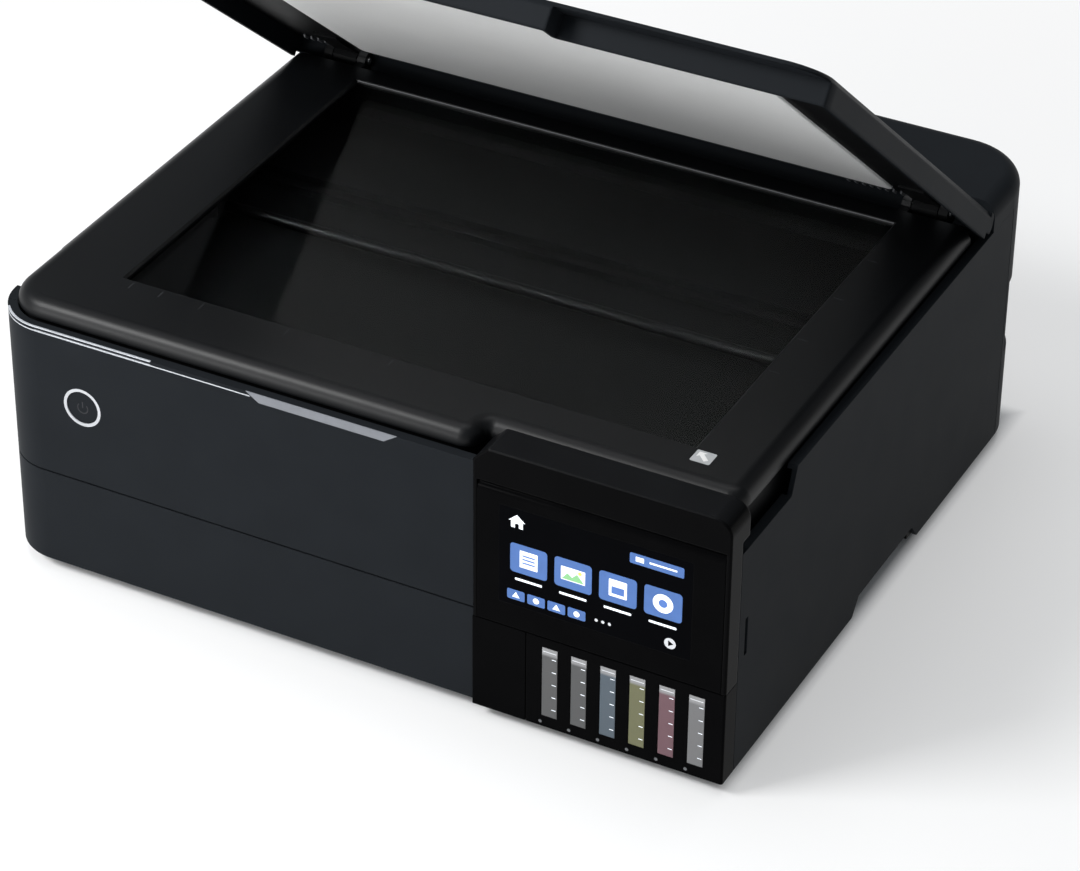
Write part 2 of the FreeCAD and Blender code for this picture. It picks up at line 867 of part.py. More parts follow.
def panel_bezel():
    """Tilting panel: a shell with a rounded top on its axis, a pin at each end and the screen's recess."""
    x0, x1 = panel_left + cheek + slide_gap, half - cheek - slide_gap
    y, z = panel_axis()
    low = panel_seam_height + seam
    r = panel_depth / 2
    block = fuse(box(x0, x1, y_panel, y_panel + panel_depth, low, z), roller_x(x0, x1, y, z, r))
    hollow = box(x0 + panel_wall, x1 - panel_wall, y_panel + panel_wall + screen_thick,
                 y_panel + panel_depth - panel_wall, low + panel_wall, z)
    recess = box(screen_left, screen_right, y_panel - over, y_panel + screen_thick, screen_low, screen_high)
    reach = cheek - swing_gap
    pins = [rod_x(x0 - reach, x0, y, z, panel_pin), rod_x(x1, x1 + reach, y, z, panel_pin)]
    return cut(fuse(block, *pins), hollow, recess)


def touch_screen():
    return box(screen_left, screen_right, y_panel, y_panel + screen_thick, screen_low, screen_high)


def front_block(x0, x1, closed_right):
    """Lower front shell, open at the back; closed_right keeps its right end wall."""
    y1 = y_panel + block_depth
    low, high = shell_lift, panel_seam_height - seam / 2
    shell = box(x0, x1, y_panel, y1, low, high)
    inner_left = x0 - over if closed_right else x0 + shell_wall
    inner_right = x1 - shell_wall if closed_right else x1 + over
    hollow = box(inner_left, inner_right, y_panel + face_wall, y1 + over, low + shell_wall,
                 high - shell_wall)
    return cut(shell, hollow)


def tank_cover():
    shell = front_block(trim_right + seam, half, True)
    shell = rounded(shell, edge_round, lambda c, b: c.x > half - pick and abs(c.y - y_panel) < pick)
    windows = [box(x - window_width / 2, x + window_width / 2, y_panel - over, y_panel + face_wall + over,
                   window_low, window_high) for x in tank_places()]
    return cut(shell, *windows)


def tank_places():
    return [tank_first + i * window_pitch for i in range(tank_count)]


def ink_tanks():
    """One tank behind each window, with a filling neck on top."""
    tanks = []
    front = y_panel + face_wall + touch_gap
    mouth = tank_top + neck_height
    for x in tank_places():
        reach = window_width / 2 - touch_gap
        body = box(x - tank_width / 2, x + tank_width / 2, front, tank_back - 2 * filler_post, floor_top,
                   tank_top)
        window = box(x - reach, x + reach, y_panel + touch_gap, front, window_low + touch_gap,
                     window_high - touch_gap)
        neck = flat_sided(x, neck_y, tank_top, mouth, neck_r, neck_sides)
        bore = flat_sided(x, neck_y, tank_top - neck_height, mouth + over, neck_bore, neck_sides)
        tanks.append(cut(fuse(body, window, neck), bore))
    return tanks


def filler_cover():
    """Flap over the filling necks, with a sealing strip below and pins at its rear."""
    y, z = filler_axis()
    left, right = filler_post_places()
    x0, x1 = left + filler_post + slide_gap, right - slide_gap
    barrel = rod_x(x0, x1, y, z, filler_barrel)
    pins = rod_x(left + touch_gap, right + filler_post - touch_gap, y, z, filler_pin)
    plate = box(x0, x1, filler_front, y, z, z + filler_thick)
    seal = box(tank_places()[0] - neck_r, tank_places()[-1] + neck_r, neck_y - neck_r, neck_y + neck_r,
               tank_top + neck_height + touch_gap, z)
    return fuse(barrel, pins, plate, seal)


def front_frame():
    """Wall beside the tanks and the plate behind the control panel."""
    plate_front = y_panel + panel_depth + panel_proud
    wall = box(panel_left - face_wall - seam, panel_left - seam, y_face + 1.5 * face_wall,
               neck_y + 4 * neck_r, floor_top, pan_floor - pan_room)
    right = half - rim_ledge - seam
    plate = box(panel_left - face_wall - seam, right, plate_front, plate_front + shell_wall,
                tank_top + neck_height + 3 * seam, panel_split - seam)
    hood_plate = box(panel_left + cheek + seam, right, plate_front, plate_front + shell_wall,
                     panel_split - shell_wall, panel_top - panel_chamfer)
    return fuse(wall, plate, hood_plate)


# Scanner unit
def frame_outline(inset):
    """Plan of the scanner, stepped back round the control panel's hood and drawn in by inset."""
    x, y0, y1 = frame_half - inset, frame_front + inset, frame_rear - inset
    notch_x, notch_y = frame_notch_x - inset, frame_notch_y + inset
    corner = frame_edge + over
    return [(-x, y0, frame_corner - inset), (notch_x, y0, corner), (notch_x, notch_y, soft_inner),
            (x, notch_y, corner), (x, y1, 0), (-x, y1, 0)]


def scanner_frame():
    """Bed round the glass with a rounded rim, and one knuckle at each hinge."""
    solid = prism(frame_outline(0), skirt_low, bed_height)
    solid = rounded(solid, frame_edge,
                    lambda c, b: b.ZMin > bed_height - pick and c.y < frame_rear - frame_edge)
    hollow = prism(frame_outline(shell_wall), skirt_low - over, frame_roof)
    seat = box(glass_left - glass_lap, glass_right + glass_lap, glass_front - glass_lap,
               glass_rear + glass_lap, skirt_low - over, frame_under)
    window = box(glass_left, glass_right, glass_front, glass_rear, skirt_low, bed_height + over)
    frame = cut(solid, hollow, seat, window)
    frame = beveled(frame, frame_chamfer, lambda c, b: b.ZMin > bed_height - pick and on_window(c))
    pieces = [frame]
    lead = body_knuckle + lid_knuckle + 2 * knuckle_gap
    for side in (-1, 1):
        x0, x1 = knuckle_span(side, lead, frame_knuckle)
        arm = box(x0, x1, frame_rear - over, hinge_y, skirt_low + frame_arm_rise, hinge_z)
        pieces.append(knuckle(x0, x1, arm))
    return fuse(*pieces)


def on_window(c):
    inside_x = glass_left - pick < c.x < glass_right + pick
    inside_y = glass_front - pick < c.y < glass_rear + pick
    return inside_x and inside_y


def hinge_reach():
    """Half the length of a hinge: a body, a lid and a frame knuckle with gaps between."""
    return (body_knuckle + lid_knuckle + frame_knuckle) / 2 + knuckle_gap


def knuckle_span(side, lead, width):
    """X span of a knuckle that starts lead in from the hinge's outer end."""
    outer = side * (hinge_x + hinge_reach())
    ends = (outer - side * lead, outer - side * (lead + width))
    return min(ends), max(ends)


def knuckle(x0, x1, arm):
    """Knuckle on the hinge axis, joined to its arm and bored for the pin."""
    bore = bore_x(x0 - over, x1 + over, hinge_y, hinge_z, hinge_pin + pin_gap)
    return cut(fuse(rod_x(x0, x1, hinge_y, hinge_z, knuckle_r), arm), bore)


def scanner_pan():
    """Pan under the glass, with a bearer for the rail at each end and two ribs along its floor."""
    outer = prism(frame_outline(pan_inset), pan_floor, frame_roof)
    inner = prism(frame_outline(pan_inset + pan_wall), pan_floor + pan_wall, bed_height)
    pieces = [cut(outer, inner)]
    for x in (-pan_half, pan_half - bearer):
        block = box(x, x + bearer, rail_y - 2 * rail_r, rail_y + 2 * rail_r, pan_floor,
                    rail_z + 1.5 * rail_r)
        pieces.append(cut(block, rail_hole()))
    for back in (pan_rib_back, pan_rib_back + pan_rib_pitch):
        y = rail_y + back
        top = pan_floor + pan_wall + rib_height
        pieces.append(box(-pan_half, pan_half, y, y + rib_width, pan_floor, top))
    return fuse(*pieces)


def rail_hole():
    reach = pan_half - pan_wall
    return bore_x(-reach, reach, rail_y, rail_z, rail_r + pin_gap)


def scan_rail():
    reach = pan_half - pan_wall
    return roller_x(-reach, reach, rail_y, rail_z, rail_r)


def scan_carriage():
    x0 = -pan_half + bearer + scan_home_gap
    x1 = x0 + scan_bar_width
    top = frame_roof - slide_gap
    bar = box(x0, x1, glass_front, glass_rear, top - scan_bar_height, top)
    shoe = box(x0, x1, rail_y - 3 * rail_r, rail_y + 3 * rail_r, rail_z - 1.2 * rail_r, top)
    groove = box(x0 + scan_bar_width / 3, x1 - scan_bar_width / 3, glass_front + rail_r, glass_rear - rail_r,
                 top - slot_depth, top + over)
    bore = bore_x(x0 - over, x1 + over, rail_y, rail_z, rail_r + pin_gap)
    return cut(fuse(bar, shoe), groove, bore)


def scanner_glass():
    return box(glass_left - glass_lap + touch_gap, glass_right + glass_lap - touch_gap,
               glass_front - glass_lap + touch_gap, glass_rear + glass_lap - touch_gap, glass_low,
               frame_under)


# Lid, drawn closed
def lid_outline(inset, rear):
    x, y0 = lid_half - inset, lid_front + inset
    return [(-x, y0, lid_corner_left - inset), (x, y0, lid_corner_right - inset),
            (x, rear, 0), (-x, rear, 0)]


def document_lid():
    """Shallow shell with a pocket over the hood and a rounded barrel along its hinge."""
    under = lid_top - lid_plate
    solid = prism(lid_outline(0, hinge_y), skirt_low, lid_top)
    solid = beveled(solid, lid_bevel, lambda c, b: b.ZMin > lid_top - pick and c.y < hinge_y - over)
    hollow = prism(lid_outline(lid_wall, hinge_y + over), skirt_low - over, under)
    pocket = prism([(pocket_left, y_panel, 0), (half + over, y_panel, 0), (half + over, pocket_rear, 0),
                    (pocket_left, pocket_rear, soft_inner)], skirt_low - over, under)
    x0, x1 = pocket_left - lid_wall, lid_half - lid_bevel
    y0, y1 = lid_front + lid_wall, pocket_rear + pocket_wall
    wall = prism([(x0, y0, 0), (pocket_left, y0, 0), (pocket_left, pocket_rear, 0), (x1, pocket_rear, 0),
                  (x1, y1, 0), (x0, y1, soft_inner)], skirt_low, under)
    barrel = common(roller_x(-lid_half, lid_half, hinge_y, hinge_z, barrel_r),
                    box(-half, half, hinge_y, deck_y, hinge_z - barrel_bore, lid_top))
    barrel = cut(barrel, roller_x(-lid_half + lid_wall, lid_half - lid_wall, hinge_y, hinge_z, barrel_bore))
    lid = fuse(cut(fuse(cut(solid, hollow), wall), pocket), barrel)
    rooms = []
    for side in (-1, 1):
        middle, reach = side * hinge_x, hinge_reach() + knuckle_gap + over
        rooms.append(box(middle - reach, middle + reach, frame_rear + over, deck_y, skirt_low - over,
                         lid_top + over))
    return cut(lid, *rooms)


def lid_inner_panel():
    top = lid_top - lid_plate
    edge = lid_wall + touch_gap
    x, y0 = lid_half - edge, lid_front + edge
    notch_x = pocket_left - lid_wall - touch_gap
    notch_y = pocket_rear + pocket_wall + touch_gap
    outline = [(-x, y0, lid_corner_left - edge), (notch_x, y0, 0), (notch_x, notch_y, 0),
               (x, notch_y, soft_corner), (x, frame_rear, 0), (-x, frame_rear, 0)]
    return prism(outline, top - inner_panel_thick, top)


def document_pad():
    high = lid_top - lid_plate - inner_panel_thick
    return prism([(pad_left, pad_front, soft_inner), (pad_right, pad_front, soft_inner),
                  (pad_right, pad_rear, soft_inner), (pad_left, pad_rear, soft_inner)],
                 bed_height + pad_gap, high)


def lid_hinge_arms():
    high = lid_top - lid_plate - inner_panel_thick
    arms = []
    for side in (-1, 1):
        x0, x1 = knuckle_span(side, body_knuckle + knuckle_gap, lid_knuckle)
        plate = box(x0, x1, hinge_y - lid_arm_reach, hinge_y, bed_height + pad_gap, high)
        arms.append(knuckle(x0, x1, plate))
    return arms


def hinge_brackets():
    """Bracket on the deck's front wall that carries the body's knuckle of each hinge."""
    brackets = []
    for side in (-1, 1):
        x0, x1 = knuckle_span(side, 0, body_knuckle)
        arm = box(x0, x1, hinge_y, deck_y, hinge_z - 2 * knuckle_r, hinge_z)
        middle, reach = side * hinge_x, hinge_reach()
        plate = box(middle - reach, middle + reach, deck_y - shell_wall, deck_y, hinge_z - 3 * knuckle_r,
                    hinge_z - 1.4 * knuckle_r)
        brackets.append(fuse(knuckle(x0, x1, arm), plate))
    return brackets


def hinge_pins():
    reach = hinge_reach() + knuckle_gap
    return [rod_x(s * hinge_x - reach, s * hinge_x + reach, hinge_y, hinge_z, hinge_pin) for s in (-1, 1)]


# Print engine
def main_chassis():
    """Two side plates and a folded beam, with the idler's axle and the belt's idler pulley."""
    low, slope = guide_height, shaft_height + 3 * feed_tyre_r
    outline = [(chassis_front, low, 0), (chassis_rear, low, 0), (chassis_rear, chassis_top, 0),
               (guide_y - 3 * guide_r, chassis_top, sheet_corner), (chassis_front, slope, sheet_corner)]
    left_plate = side_prism(outline, engine_left, engine_left + chassis_sheet)
    right_plate = side_prism(outline, engine_right - chassis_sheet, engine_right)
    beam = box(engine_left, engine_right, chassis_rear - chassis_sheet, chassis_rear, beam_low, chassis_top)
    flange = box(engine_left, engine_right, chassis_rear - flange_depth, chassis_rear,
                 chassis_top - chassis_sheet, chassis_top)
    pinion_room = motor_shaft_r + swing_gap
    pulley_room = pulley_r + swing_gap
    holes = [bore_x(-half, half, guide_y, guide_z, guide_r),
             bore_x(-half, half, feed_y, shaft_height, feed_shaft_r + pin_gap),
             bore_x(-half, half, exit_y, shaft_height, exit_shaft_r + pin_gap),
             box(-half, 0, pinion_y - pinion_room, pinion_y + pinion_room, shaft_height - pinion_room,
                 shaft_height + pinion_room),
             box(motor_pulley_x - pulley_room, motor_pulley_x + pulley_room, belt_y, chassis_rear + over,
                 belt_z - pulley_room, belt_z + pulley_room)]
    frame = cut(fuse(left_plate, right_plate, beam, flange), *holes)
    axle = rod_x(engine_left - gear_width - 2 * seam, engine_left, idler_y, shaft_height, axle_r)
    pulley = rod_y(idler_pulley_x, belt_y - belt_width / 2, chassis_rear - chassis_sheet, belt_z,
                   pulley_r - touch_gap, rod_sides)
    return fuse(frame, axle, pulley)


def guide_shaft():
    return roller_x(engine_left - chassis_sheet, engine_right + chassis_sheet, guide_y, guide_z,
                    guide_r - touch_gap / 4)


def carriage_belt():
    """Flat loop round the two pulleys."""
    y0, y1 = belt_y - belt_width / 2, belt_y + belt_width / 2

    def loop(r):
        x0, x1 = idler_pulley_x - r, motor_pulley_x + r
        z0, z1 = belt_z - r, belt_z + r
        corner = r * nearly
        return front_prism([(x0, z0, corner), (x1, z0, corner), (x1, z1, corner), (x0, z1, corner)], y0, y1)
    return cut(loop(pulley_r + belt_thick), loop(pulley_r))


def carriage_motor():
    x, rear = motor_pulley_x, chassis_rear
    pulley = rod_y(x, belt_y - belt_width / 2, rear + over, belt_z, pulley_r - touch_gap, rod_sides)
    return fuse(pulley, rod_y(x, rear, rear + motor_length, belt_z, motor_r, rod_sides))


def encoder_strip():
    high = chassis_top - chassis_sheet - seam
    return box(engine_left + chassis_sheet, engine_right - chassis_sheet, strip_y, strip_y + strip_thick,
               high - strip_height, high)


def print_carriage():
    """Carriage with a sloping front, bored for the guide shaft, and a clamp that reaches to the belt."""
    x0, x1 = carriage_left, carriage_left + carriage_width
    outline = [(carriage_front, carriage_low, soft_corner), (carriage_rear, carriage_low, soft_corner),
               (carriage_rear, carriage_high, carriage_round),
               (carriage_front + carriage_slope, carriage_high, 2 * carriage_round),
               (carriage_front, carriage_high - carriage_slope, carriage_round)]
    clamp_z = belt_z - pulley_r
    clamp = box(x0 + carriage_slope, x1 - carriage_slope, carriage_rear - over,
                belt_y - belt_width / 2 - slide_gap, clamp_z - belt_thick, clamp_z + belt_thick)
    bore = bore_x(x0 - over, x1 + over, guide_y, guide_z, guide_r - touch_gap / 4 + pin_gap)
    return cut(fuse(side_prism(outline, x0, x1), clamp), bore)


def print_head():
    return box(carriage_left + head_inset, carriage_left + carriage_width - head_inset,
               carriage_front + head_inset, head_rear, carriage_low - head_height, carriage_low)


def platen():
    """Plate under the head with a row of ribs along the paper's way."""
    x0, x1 = engine_left + chassis_sheet + touch_gap, paper_right + guide_wall
    top = guide_height + platen_thick
    pieces = [box(x0, x1, platen_front, platen_rear, guide_height, top)]
    for i in range(int((x1 - x0) / rib_pitch)):
        x = x0 + i * rib_pitch + rib_width
        pieces.append(box(x, x + rib_width, platen_front, platen_rear, top - over, top + rib_height))
    return fuse(*pieces)


def cap_station():
    x0 = carriage_left
    x1 = x0 + carriage_width
    block = box(x0, x1, carriage_front + head_inset, head_rear, guide_height,
                guide_height + station_height - rib_width)
    lip = box(x0 + head_inset, x1 - head_inset, carriage_front + 2 * head_inset, head_rear - head_inset,
              guide_height + rib_width, guide_height + station_height)
    well = box(x0 + head_inset + rib_width, x1 - head_inset - rib_width,
               carriage_front + 2 * head_inset + rib_width, head_rear - head_inset - rib_width,
               guide_height + station_height - rail_r, guide_height + station_height + over)
    return cut(fuse(block, lip), well)


def waste_ink_box():
    return box(stand_left + stand_skin + seam, engine_right - stand_skin - seam, stand_front + stand_skin,
               stand_rear - stand_skin, floor_top, waste_top)


def roller_shaft(y, r):
    return roller_x(engine_left - gear_width - 2 * seam, engine_right + chassis_sheet, y, shaft_height, r)


def tyres(y, shaft_r, tyre_r):
    """Rubber tyres spread evenly over the paper's width."""
    first, last = paper_left + tyre_width, paper_right - 2 * tyre_width
    pitch = (last - first) / (tyre_count - 1)
    pieces = []
    for i in range(tyre_count):
        x0 = first + i * pitch
        x1 = x0 + tyre_width
        bore = bore_x(x0 - over, x1 + over, y, shaft_height, shaft_r + pin_gap)
        pieces.append(cut(roller_x(x0, x1, y, shaft_height, tyre_r), bore))
    return pieces


def gear_span():
    return engine_left - gear_width - seam, engine_left - seam


def drive_gear(y, teeth, first, bore):
    x0, x1 = gear_span()
    hole = bore_x(x0 - over, x1 + over, y, shaft_height, bore + pin_gap)
    return cut(gear_x(x0, x1, y, shaft_height, teeth, first), hole)


def feed_motor():
    x0 = engine_left + chassis_sheet
    return rod_x(x0, x0 + motor_length, pinion_y, shaft_height, feed_motor_r)


def motor_pinion():
    x0, x1 = gear_span()
    shaft = rod_x(x0, engine_left + chassis_sheet - touch_gap, pinion_y, shaft_height, motor_shaft_r)
    return fuse(gear_x(x0, x1, pinion_y, shaft_height, pinion_teeth, 0), shaft)


# Paper handling
def paper_cassette():
    gap = seam
    outer = box(paper_left + gap, paper_right - gap, cassette_front, cassette_rear, floor_top + slide_gap,
                cassette_top)
    inner = box(paper_left + gap + cassette_wall, paper_right - gap - cassette_wall,
                cassette_front + cassette_wall, cassette_rear - cassette_wall,
                floor_top + slide_gap + cassette_wall, cassette_top + over)
    grip = box(paper_mid - finger_width, paper_mid + finger_width, cassette_front - over,
               cassette_front + cassette_wall + over, cassette_top - finger_depth, cassette_top + over)
    return cut(outer, inner, grip)


def output_tray():
    x0, x1 = paper_left + seam, paper_right - seam
    outer = box(x0, x1, tray_front, tray_rear, tray_low, tray_low + tray_lip)
    inner = box(x0 + tray_wall, x1 - tray_wall, tray_front - over, tray_rear + over, tray_low + tray_wall,
                tray_low + tray_lip + over)
    stop = box(paper_mid - finger_width, paper_mid + finger_width, tray_front, tray_front + tray_wall,
               tray_low + over, tray_low + tray_lip)
    return fuse(cut(outer, inner), stop)


def rear_feed_tray():
    x0, x1 = paper_left - feed_margin, paper_right + feed_margin
    y0, y1 = feed_front - shell_wall, feed_axis_y + feed_barrel - 2 * seam
    floor = box(x0 - feed_side, x1 + feed_side, y0, y1, feed_tray_low, feed_tray_low + feed_tray_thick)
    walls = [box(x, x + feed_side, y0, y1, feed_tray_low, deck_under) for x in (x0 - feed_side, x1)]
    slot = box(x0 + feed_side, x1 - feed_side, feed_front, edge_guide_front - feed_margin,
               feed_tray_low - over, feed_tray_low + feed_barrel)
    tray = cut(fuse(floor, *walls), slot)
    return cut(tray, bore_x(-half, half, feed_axis_y, feed_axis_z, feed_pin + pin_gap))


def rear_feed_cover():
    x0, x1 = paper_left - feed_margin + seam, paper_right + feed_margin - seam
    y, z = feed_axis_y, feed_axis_z
    plate = box(x0, x1, feed_front + seam, y, deck_top - feed_plate, deck_top)
    barrel = roller_x(x0, x1, y, z, feed_barrel)
    pins = rod_x(x0 - feed_side, x1 + feed_side, y, z, feed_pin)
    return fuse(plate, barrel, pins)


def edge_guide_plate(x0):
    low = feed_tray_low + feed_tray_thick + slide_gap
    high = deck_top - 2 * feed_barrel - slide_gap
    upright = box(x0, x0 + edge_guide, edge_guide_front, edge_guide_rear, low, high + feed_barrel)
    return upright


def rear_paper_cover():
    y0 = y_rear - duplex_depth
    shell = box(duplex_left, duplex_right, y0, y_rear, duplex_low, duplex_high)
    hollow = box(duplex_left + shell_wall, duplex_right - shell_wall, y0 - over, y_rear - shell_wall,
                 duplex_low + shell_wall, duplex_high - shell_wall)
    grips = [box(x - finger_width / 2, x + finger_width / 2, y_rear - shell_wall - over, y_rear + over,
                 duplex_high - 2 * finger_depth, duplex_high - finger_depth)
             for x in (duplex_left + finger_width, duplex_right - finger_width)]
    return cut(shell, hollow, *grips)


# Electronics
def main_board():
    return box(board_left, board_right, board_y, board_y + board_thick, board_low, board_high)


def interface_ports():
    y0, y1 = board_y + board_thick, y_rear - seam
    ports = []
    for x, width, height in ((usb_left, usb_width, usb_height), (lan_left, lan_width, lan_height)):
        outer = box(x, x + width, y0, y1, port_low, port_low + height)
        inner = box(x + port_wall, x + width - port_wall, y1 - port_hollow, y1 + over, port_low + port_wall,
                    port_low + height - port_wall)
        ports.append(cut(outer, inner))
    return ports


def power_supply():
    return box(supply_left, supply_right, supply_front, supply_rear, floor_top, supply_high)


def ac_inlet():
    y1 = y_rear - seam
    outer = box(inlet_left, inlet_right, supply_rear, y1, inlet_low, inlet_high)
    hollow = box(inlet_left + shell_wall, inlet_right - shell_wall, y1 - inlet_hollow, y1 + over,
                 inlet_low + shell_wall, inlet_high - shell_wall)
    middle = (inlet_left + inlet_right) / 2
    z = (inlet_low + inlet_high) / 2
    pins = [rod_y(middle + s * inlet_pin_pitch / 2, y1 - inlet_hollow - over, y1 - face_wall, z,
                  inlet_pin_r, rod_sides) for s in (-1, 1)]
    return fuse(cut(outer, hollow), *pins)


def main():
    os.makedirs("parts", exist_ok=True)
    save("base_tray", base_tray())
    save("rubber_feet", *rubber_feet())
    save("left_side_cover", side_cover(-1, wrap_y + seam))
    save("right_side_cover", right_side_cover())
    save("rear_cover", rear_cover())
    save("rear_top_cover", rear_top_cover())
    save("front_fascia", front_fascia())
    save("status_lights", light_bar(pick), light_strip(pick))
    save("power_light_ring", power_light_ring())
    save("power_button", power_button())
    save("front_cover", front_cover())
    save("panel_frame", panel_frame())
    save("panel_bezel", panel_bezel())
    save("touch_screen", touch_screen())
    save("tank_cover", tank_cover())
    save("tank_trim", front_block(panel_left, trim_right, False))
    save("ink_tanks", *ink_tanks())
    save("filler_cover", filler_cover())
    save("front_frame", front_frame())
    save("scanner_frame", scanner_frame())
    save("scanner_pan", scanner_pan())
    save("scanner_glass", scanner_glass())
    save("scan_rail", scan_rail())
    save("scan_carriage", scan_carriage())
    save("document_lid", raised(document_lid()))
    save("lid_inner_panel", raised(lid_inner_panel()))
    save("document_pad", raised(document_pad()))
    save("lid_hinge_arms", *[raised(a) for a in lid_hinge_arms()])
    save("hinge_brackets", *hinge_brackets())
    save("hinge_pins", *hinge_pins())
    save("main_chassis", main_chassis())
    save("guide_shaft", guide_shaft())
    save("carriage_belt", carriage_belt())
    save("carriage_motor", carriage_motor())
    save("encoder_strip", encoder_strip())
    save("print_carriage", print_carriage())
    save("print_head", print_head())
    save("platen", platen())
    save("cap_station", cap_station())
    save("waste_ink_box", waste_ink_box())
    save("feed_shaft", roller_shaft(feed_y, feed_shaft_r))
    save("feed_tyres", *tyres(feed_y, feed_shaft_r, feed_tyre_r))
    save("exit_shaft", roller_shaft(exit_y, exit_shaft_r))
    save("exit_tyres", *tyres(exit_y, exit_shaft_r, exit_tyre_r))
    save("feed_gear", drive_gear(feed_y, feed_teeth, 0, feed_shaft_r))
    save("idler_gear", drive_gear(idler_y, idler_teeth, half_tooth, axle_r))
    save("exit_gear", drive_gear(exit_y, feed_teeth, 0, exit_shaft_r))
    save("feed_motor", feed_motor())
    save("motor_pinion", motor_pinion())
    save("paper_cassette", paper_cassette())
    save("output_tray", output_tray())
    save("rear_feed_tray", rear_feed_tray())
    save("rear_feed_cover", rear_feed_cover())
    save("left_edge_guide", edge_guide_plate(paper_left - feed_margin + slide_gap))
    save("right_edge_guide", edge_guide_plate(paper_right + feed_margin - slide_gap - edge_guide))
    save("rear_paper_cover", rear_paper_cover())
    save("main_board", main_board())
    save("interface_ports", *interface_ports())
    save("power_supply", power_supply())
    save("ac_inlet", ac_inlet())


main()
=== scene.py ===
import json
import math
import bmesh
import bpy
from mathutils import Matrix, Vector

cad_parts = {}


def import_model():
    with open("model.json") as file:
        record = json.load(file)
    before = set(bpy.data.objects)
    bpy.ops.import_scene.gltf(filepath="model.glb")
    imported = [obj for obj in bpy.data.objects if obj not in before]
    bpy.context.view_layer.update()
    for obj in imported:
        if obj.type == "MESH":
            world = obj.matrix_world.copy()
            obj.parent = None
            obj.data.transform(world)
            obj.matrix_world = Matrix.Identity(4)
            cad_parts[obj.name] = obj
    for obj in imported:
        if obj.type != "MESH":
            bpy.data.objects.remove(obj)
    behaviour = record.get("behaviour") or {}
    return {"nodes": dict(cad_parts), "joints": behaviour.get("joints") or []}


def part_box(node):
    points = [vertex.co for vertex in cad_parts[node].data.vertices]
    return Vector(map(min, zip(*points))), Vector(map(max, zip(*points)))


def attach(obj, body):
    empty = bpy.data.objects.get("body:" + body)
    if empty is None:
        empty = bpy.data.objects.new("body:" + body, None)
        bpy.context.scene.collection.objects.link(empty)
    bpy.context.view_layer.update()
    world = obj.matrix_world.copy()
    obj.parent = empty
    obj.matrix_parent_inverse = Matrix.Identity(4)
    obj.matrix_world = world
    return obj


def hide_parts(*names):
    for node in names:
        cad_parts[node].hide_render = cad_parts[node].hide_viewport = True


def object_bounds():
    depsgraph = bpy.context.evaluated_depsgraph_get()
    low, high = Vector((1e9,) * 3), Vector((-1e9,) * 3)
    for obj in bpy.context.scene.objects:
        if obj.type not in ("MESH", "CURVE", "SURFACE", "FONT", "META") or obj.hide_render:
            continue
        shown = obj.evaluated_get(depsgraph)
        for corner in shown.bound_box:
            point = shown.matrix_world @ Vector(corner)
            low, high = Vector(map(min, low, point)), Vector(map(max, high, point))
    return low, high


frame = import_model()
CAD_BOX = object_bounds()
MM = 0.001


def span(node):
    """Lowest and highest corner of a node, in millimetres."""
    low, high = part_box(node)
    return [c / MM for c in low], [c / MM for c in high]


# Sizes and places, in millimetres, worked out from the frame
BODY_LEFT = span("left_side_cover")[0][0]
FACE_Y = span("front_fascia")[0][1]
RIM_Z = span("front_fascia")[1][2]
FRONT_CORNER = 28.0
FRAME_PLATE = 2.5
FRAME_CHAMFER = 1.2
GLASS_LAP = 4.3
GLASS_LOW, GLASS_HIGH = span("scanner_glass")
BED_Z = GLASS_HIGH[2] + FRAME_PLATE
WINDOW_LEFT, WINDOW_RIGHT = GLASS_LOW[0] + GLASS_LAP, GLASS_HIGH[0] - GLASS_LAP
WINDOW_FRONT, WINDOW_REAR = GLASS_LOW[1] + GLASS_LAP, GLASS_HIGH[1] - GLASS_LAP
SCREEN_LEFT, PANEL_Y, SCREEN_LOW = span("touch_screen")[0]
BAR_LENGTH = 81.8
BAR_LEFT = span("status_lights")[1][0] - BAR_LENGTH
TANK_COUNT = 6
TANK_GAP = 1.0
TANKS_LOW, TANKS_HIGH = span("ink_tanks")
TANK_LEFT, TANK_RIGHT = TANKS_LOW[0] - TANK_GAP / 2, TANKS_HIGH[0] + TANK_GAP / 2
TANK_PITCH = (TANK_RIGHT - TANK_LEFT) / TANK_COUNT
WINDOW_CENTRES = [TANK_LEFT + TANK_PITCH * (i + 0.5) for i in range(TANK_COUNT)]
INK_DEPTH = 38.0
INK_LEVEL = TANKS_LOW[2] + INK_DEPTH
LID_OPEN = 40.1
HINGE = Vector(next(j["pos_m"] for j in frame["joints"] if j["name"] == "lid_hinge"))
LID_TURN = (Matrix.Translation(HINGE) @ Matrix.Rotation(math.radians(-LID_OPEN), 4, "X")
            @ Matrix.Translation(-HINGE))
PRINT_THICK = 0.04
PRINT_LIFT = 0.02


# Materials, with lengths in metres and noise scales per metre
CLOUD_STOPS = (0.3, 0.7)
CLOUD_SCALE, CLOUD_DETAIL = 40.0, 3.0
GRAIN_SCALE, GRAIN_DETAIL = 1500.0, 1.0
BUMP_STRENGTH = 0.6
BEVEL_SAMPLES = 4
HOOD_TILT = (0.55, 0.85)
HOOD_ROUGH = (0.14, 0.42)
HOOD_VARY = 0.1
HOOD_GRAIN = dict(grain=300.0, depth=0.000005, bevel=0.0008)
LIT_CLOUD, LIT_ROUGH = 120.0, 0.3
GLASS_TINT, GLASS_VARY = (0.91, 0.93, 0.93), 0.02
GLASS_STREAKS = 14.0
GLASS_ROUGH = (0.02, 0.05)
GLASS_IOR = 1.10
TANK_CLOUD, TANK_VARY, TANK_ROUGH = 60.0, 0.04, 0.28
INK_EDGE = (-0.5, 1.0)
INKS = [(0.072, 0.072, 0.073), (0.068, 0.069, 0.070), (0.064, 0.086, 0.108), (0.125, 0.125, 0.060),
        (0.128, 0.062, 0.076), (0.142, 0.142, 0.145)]
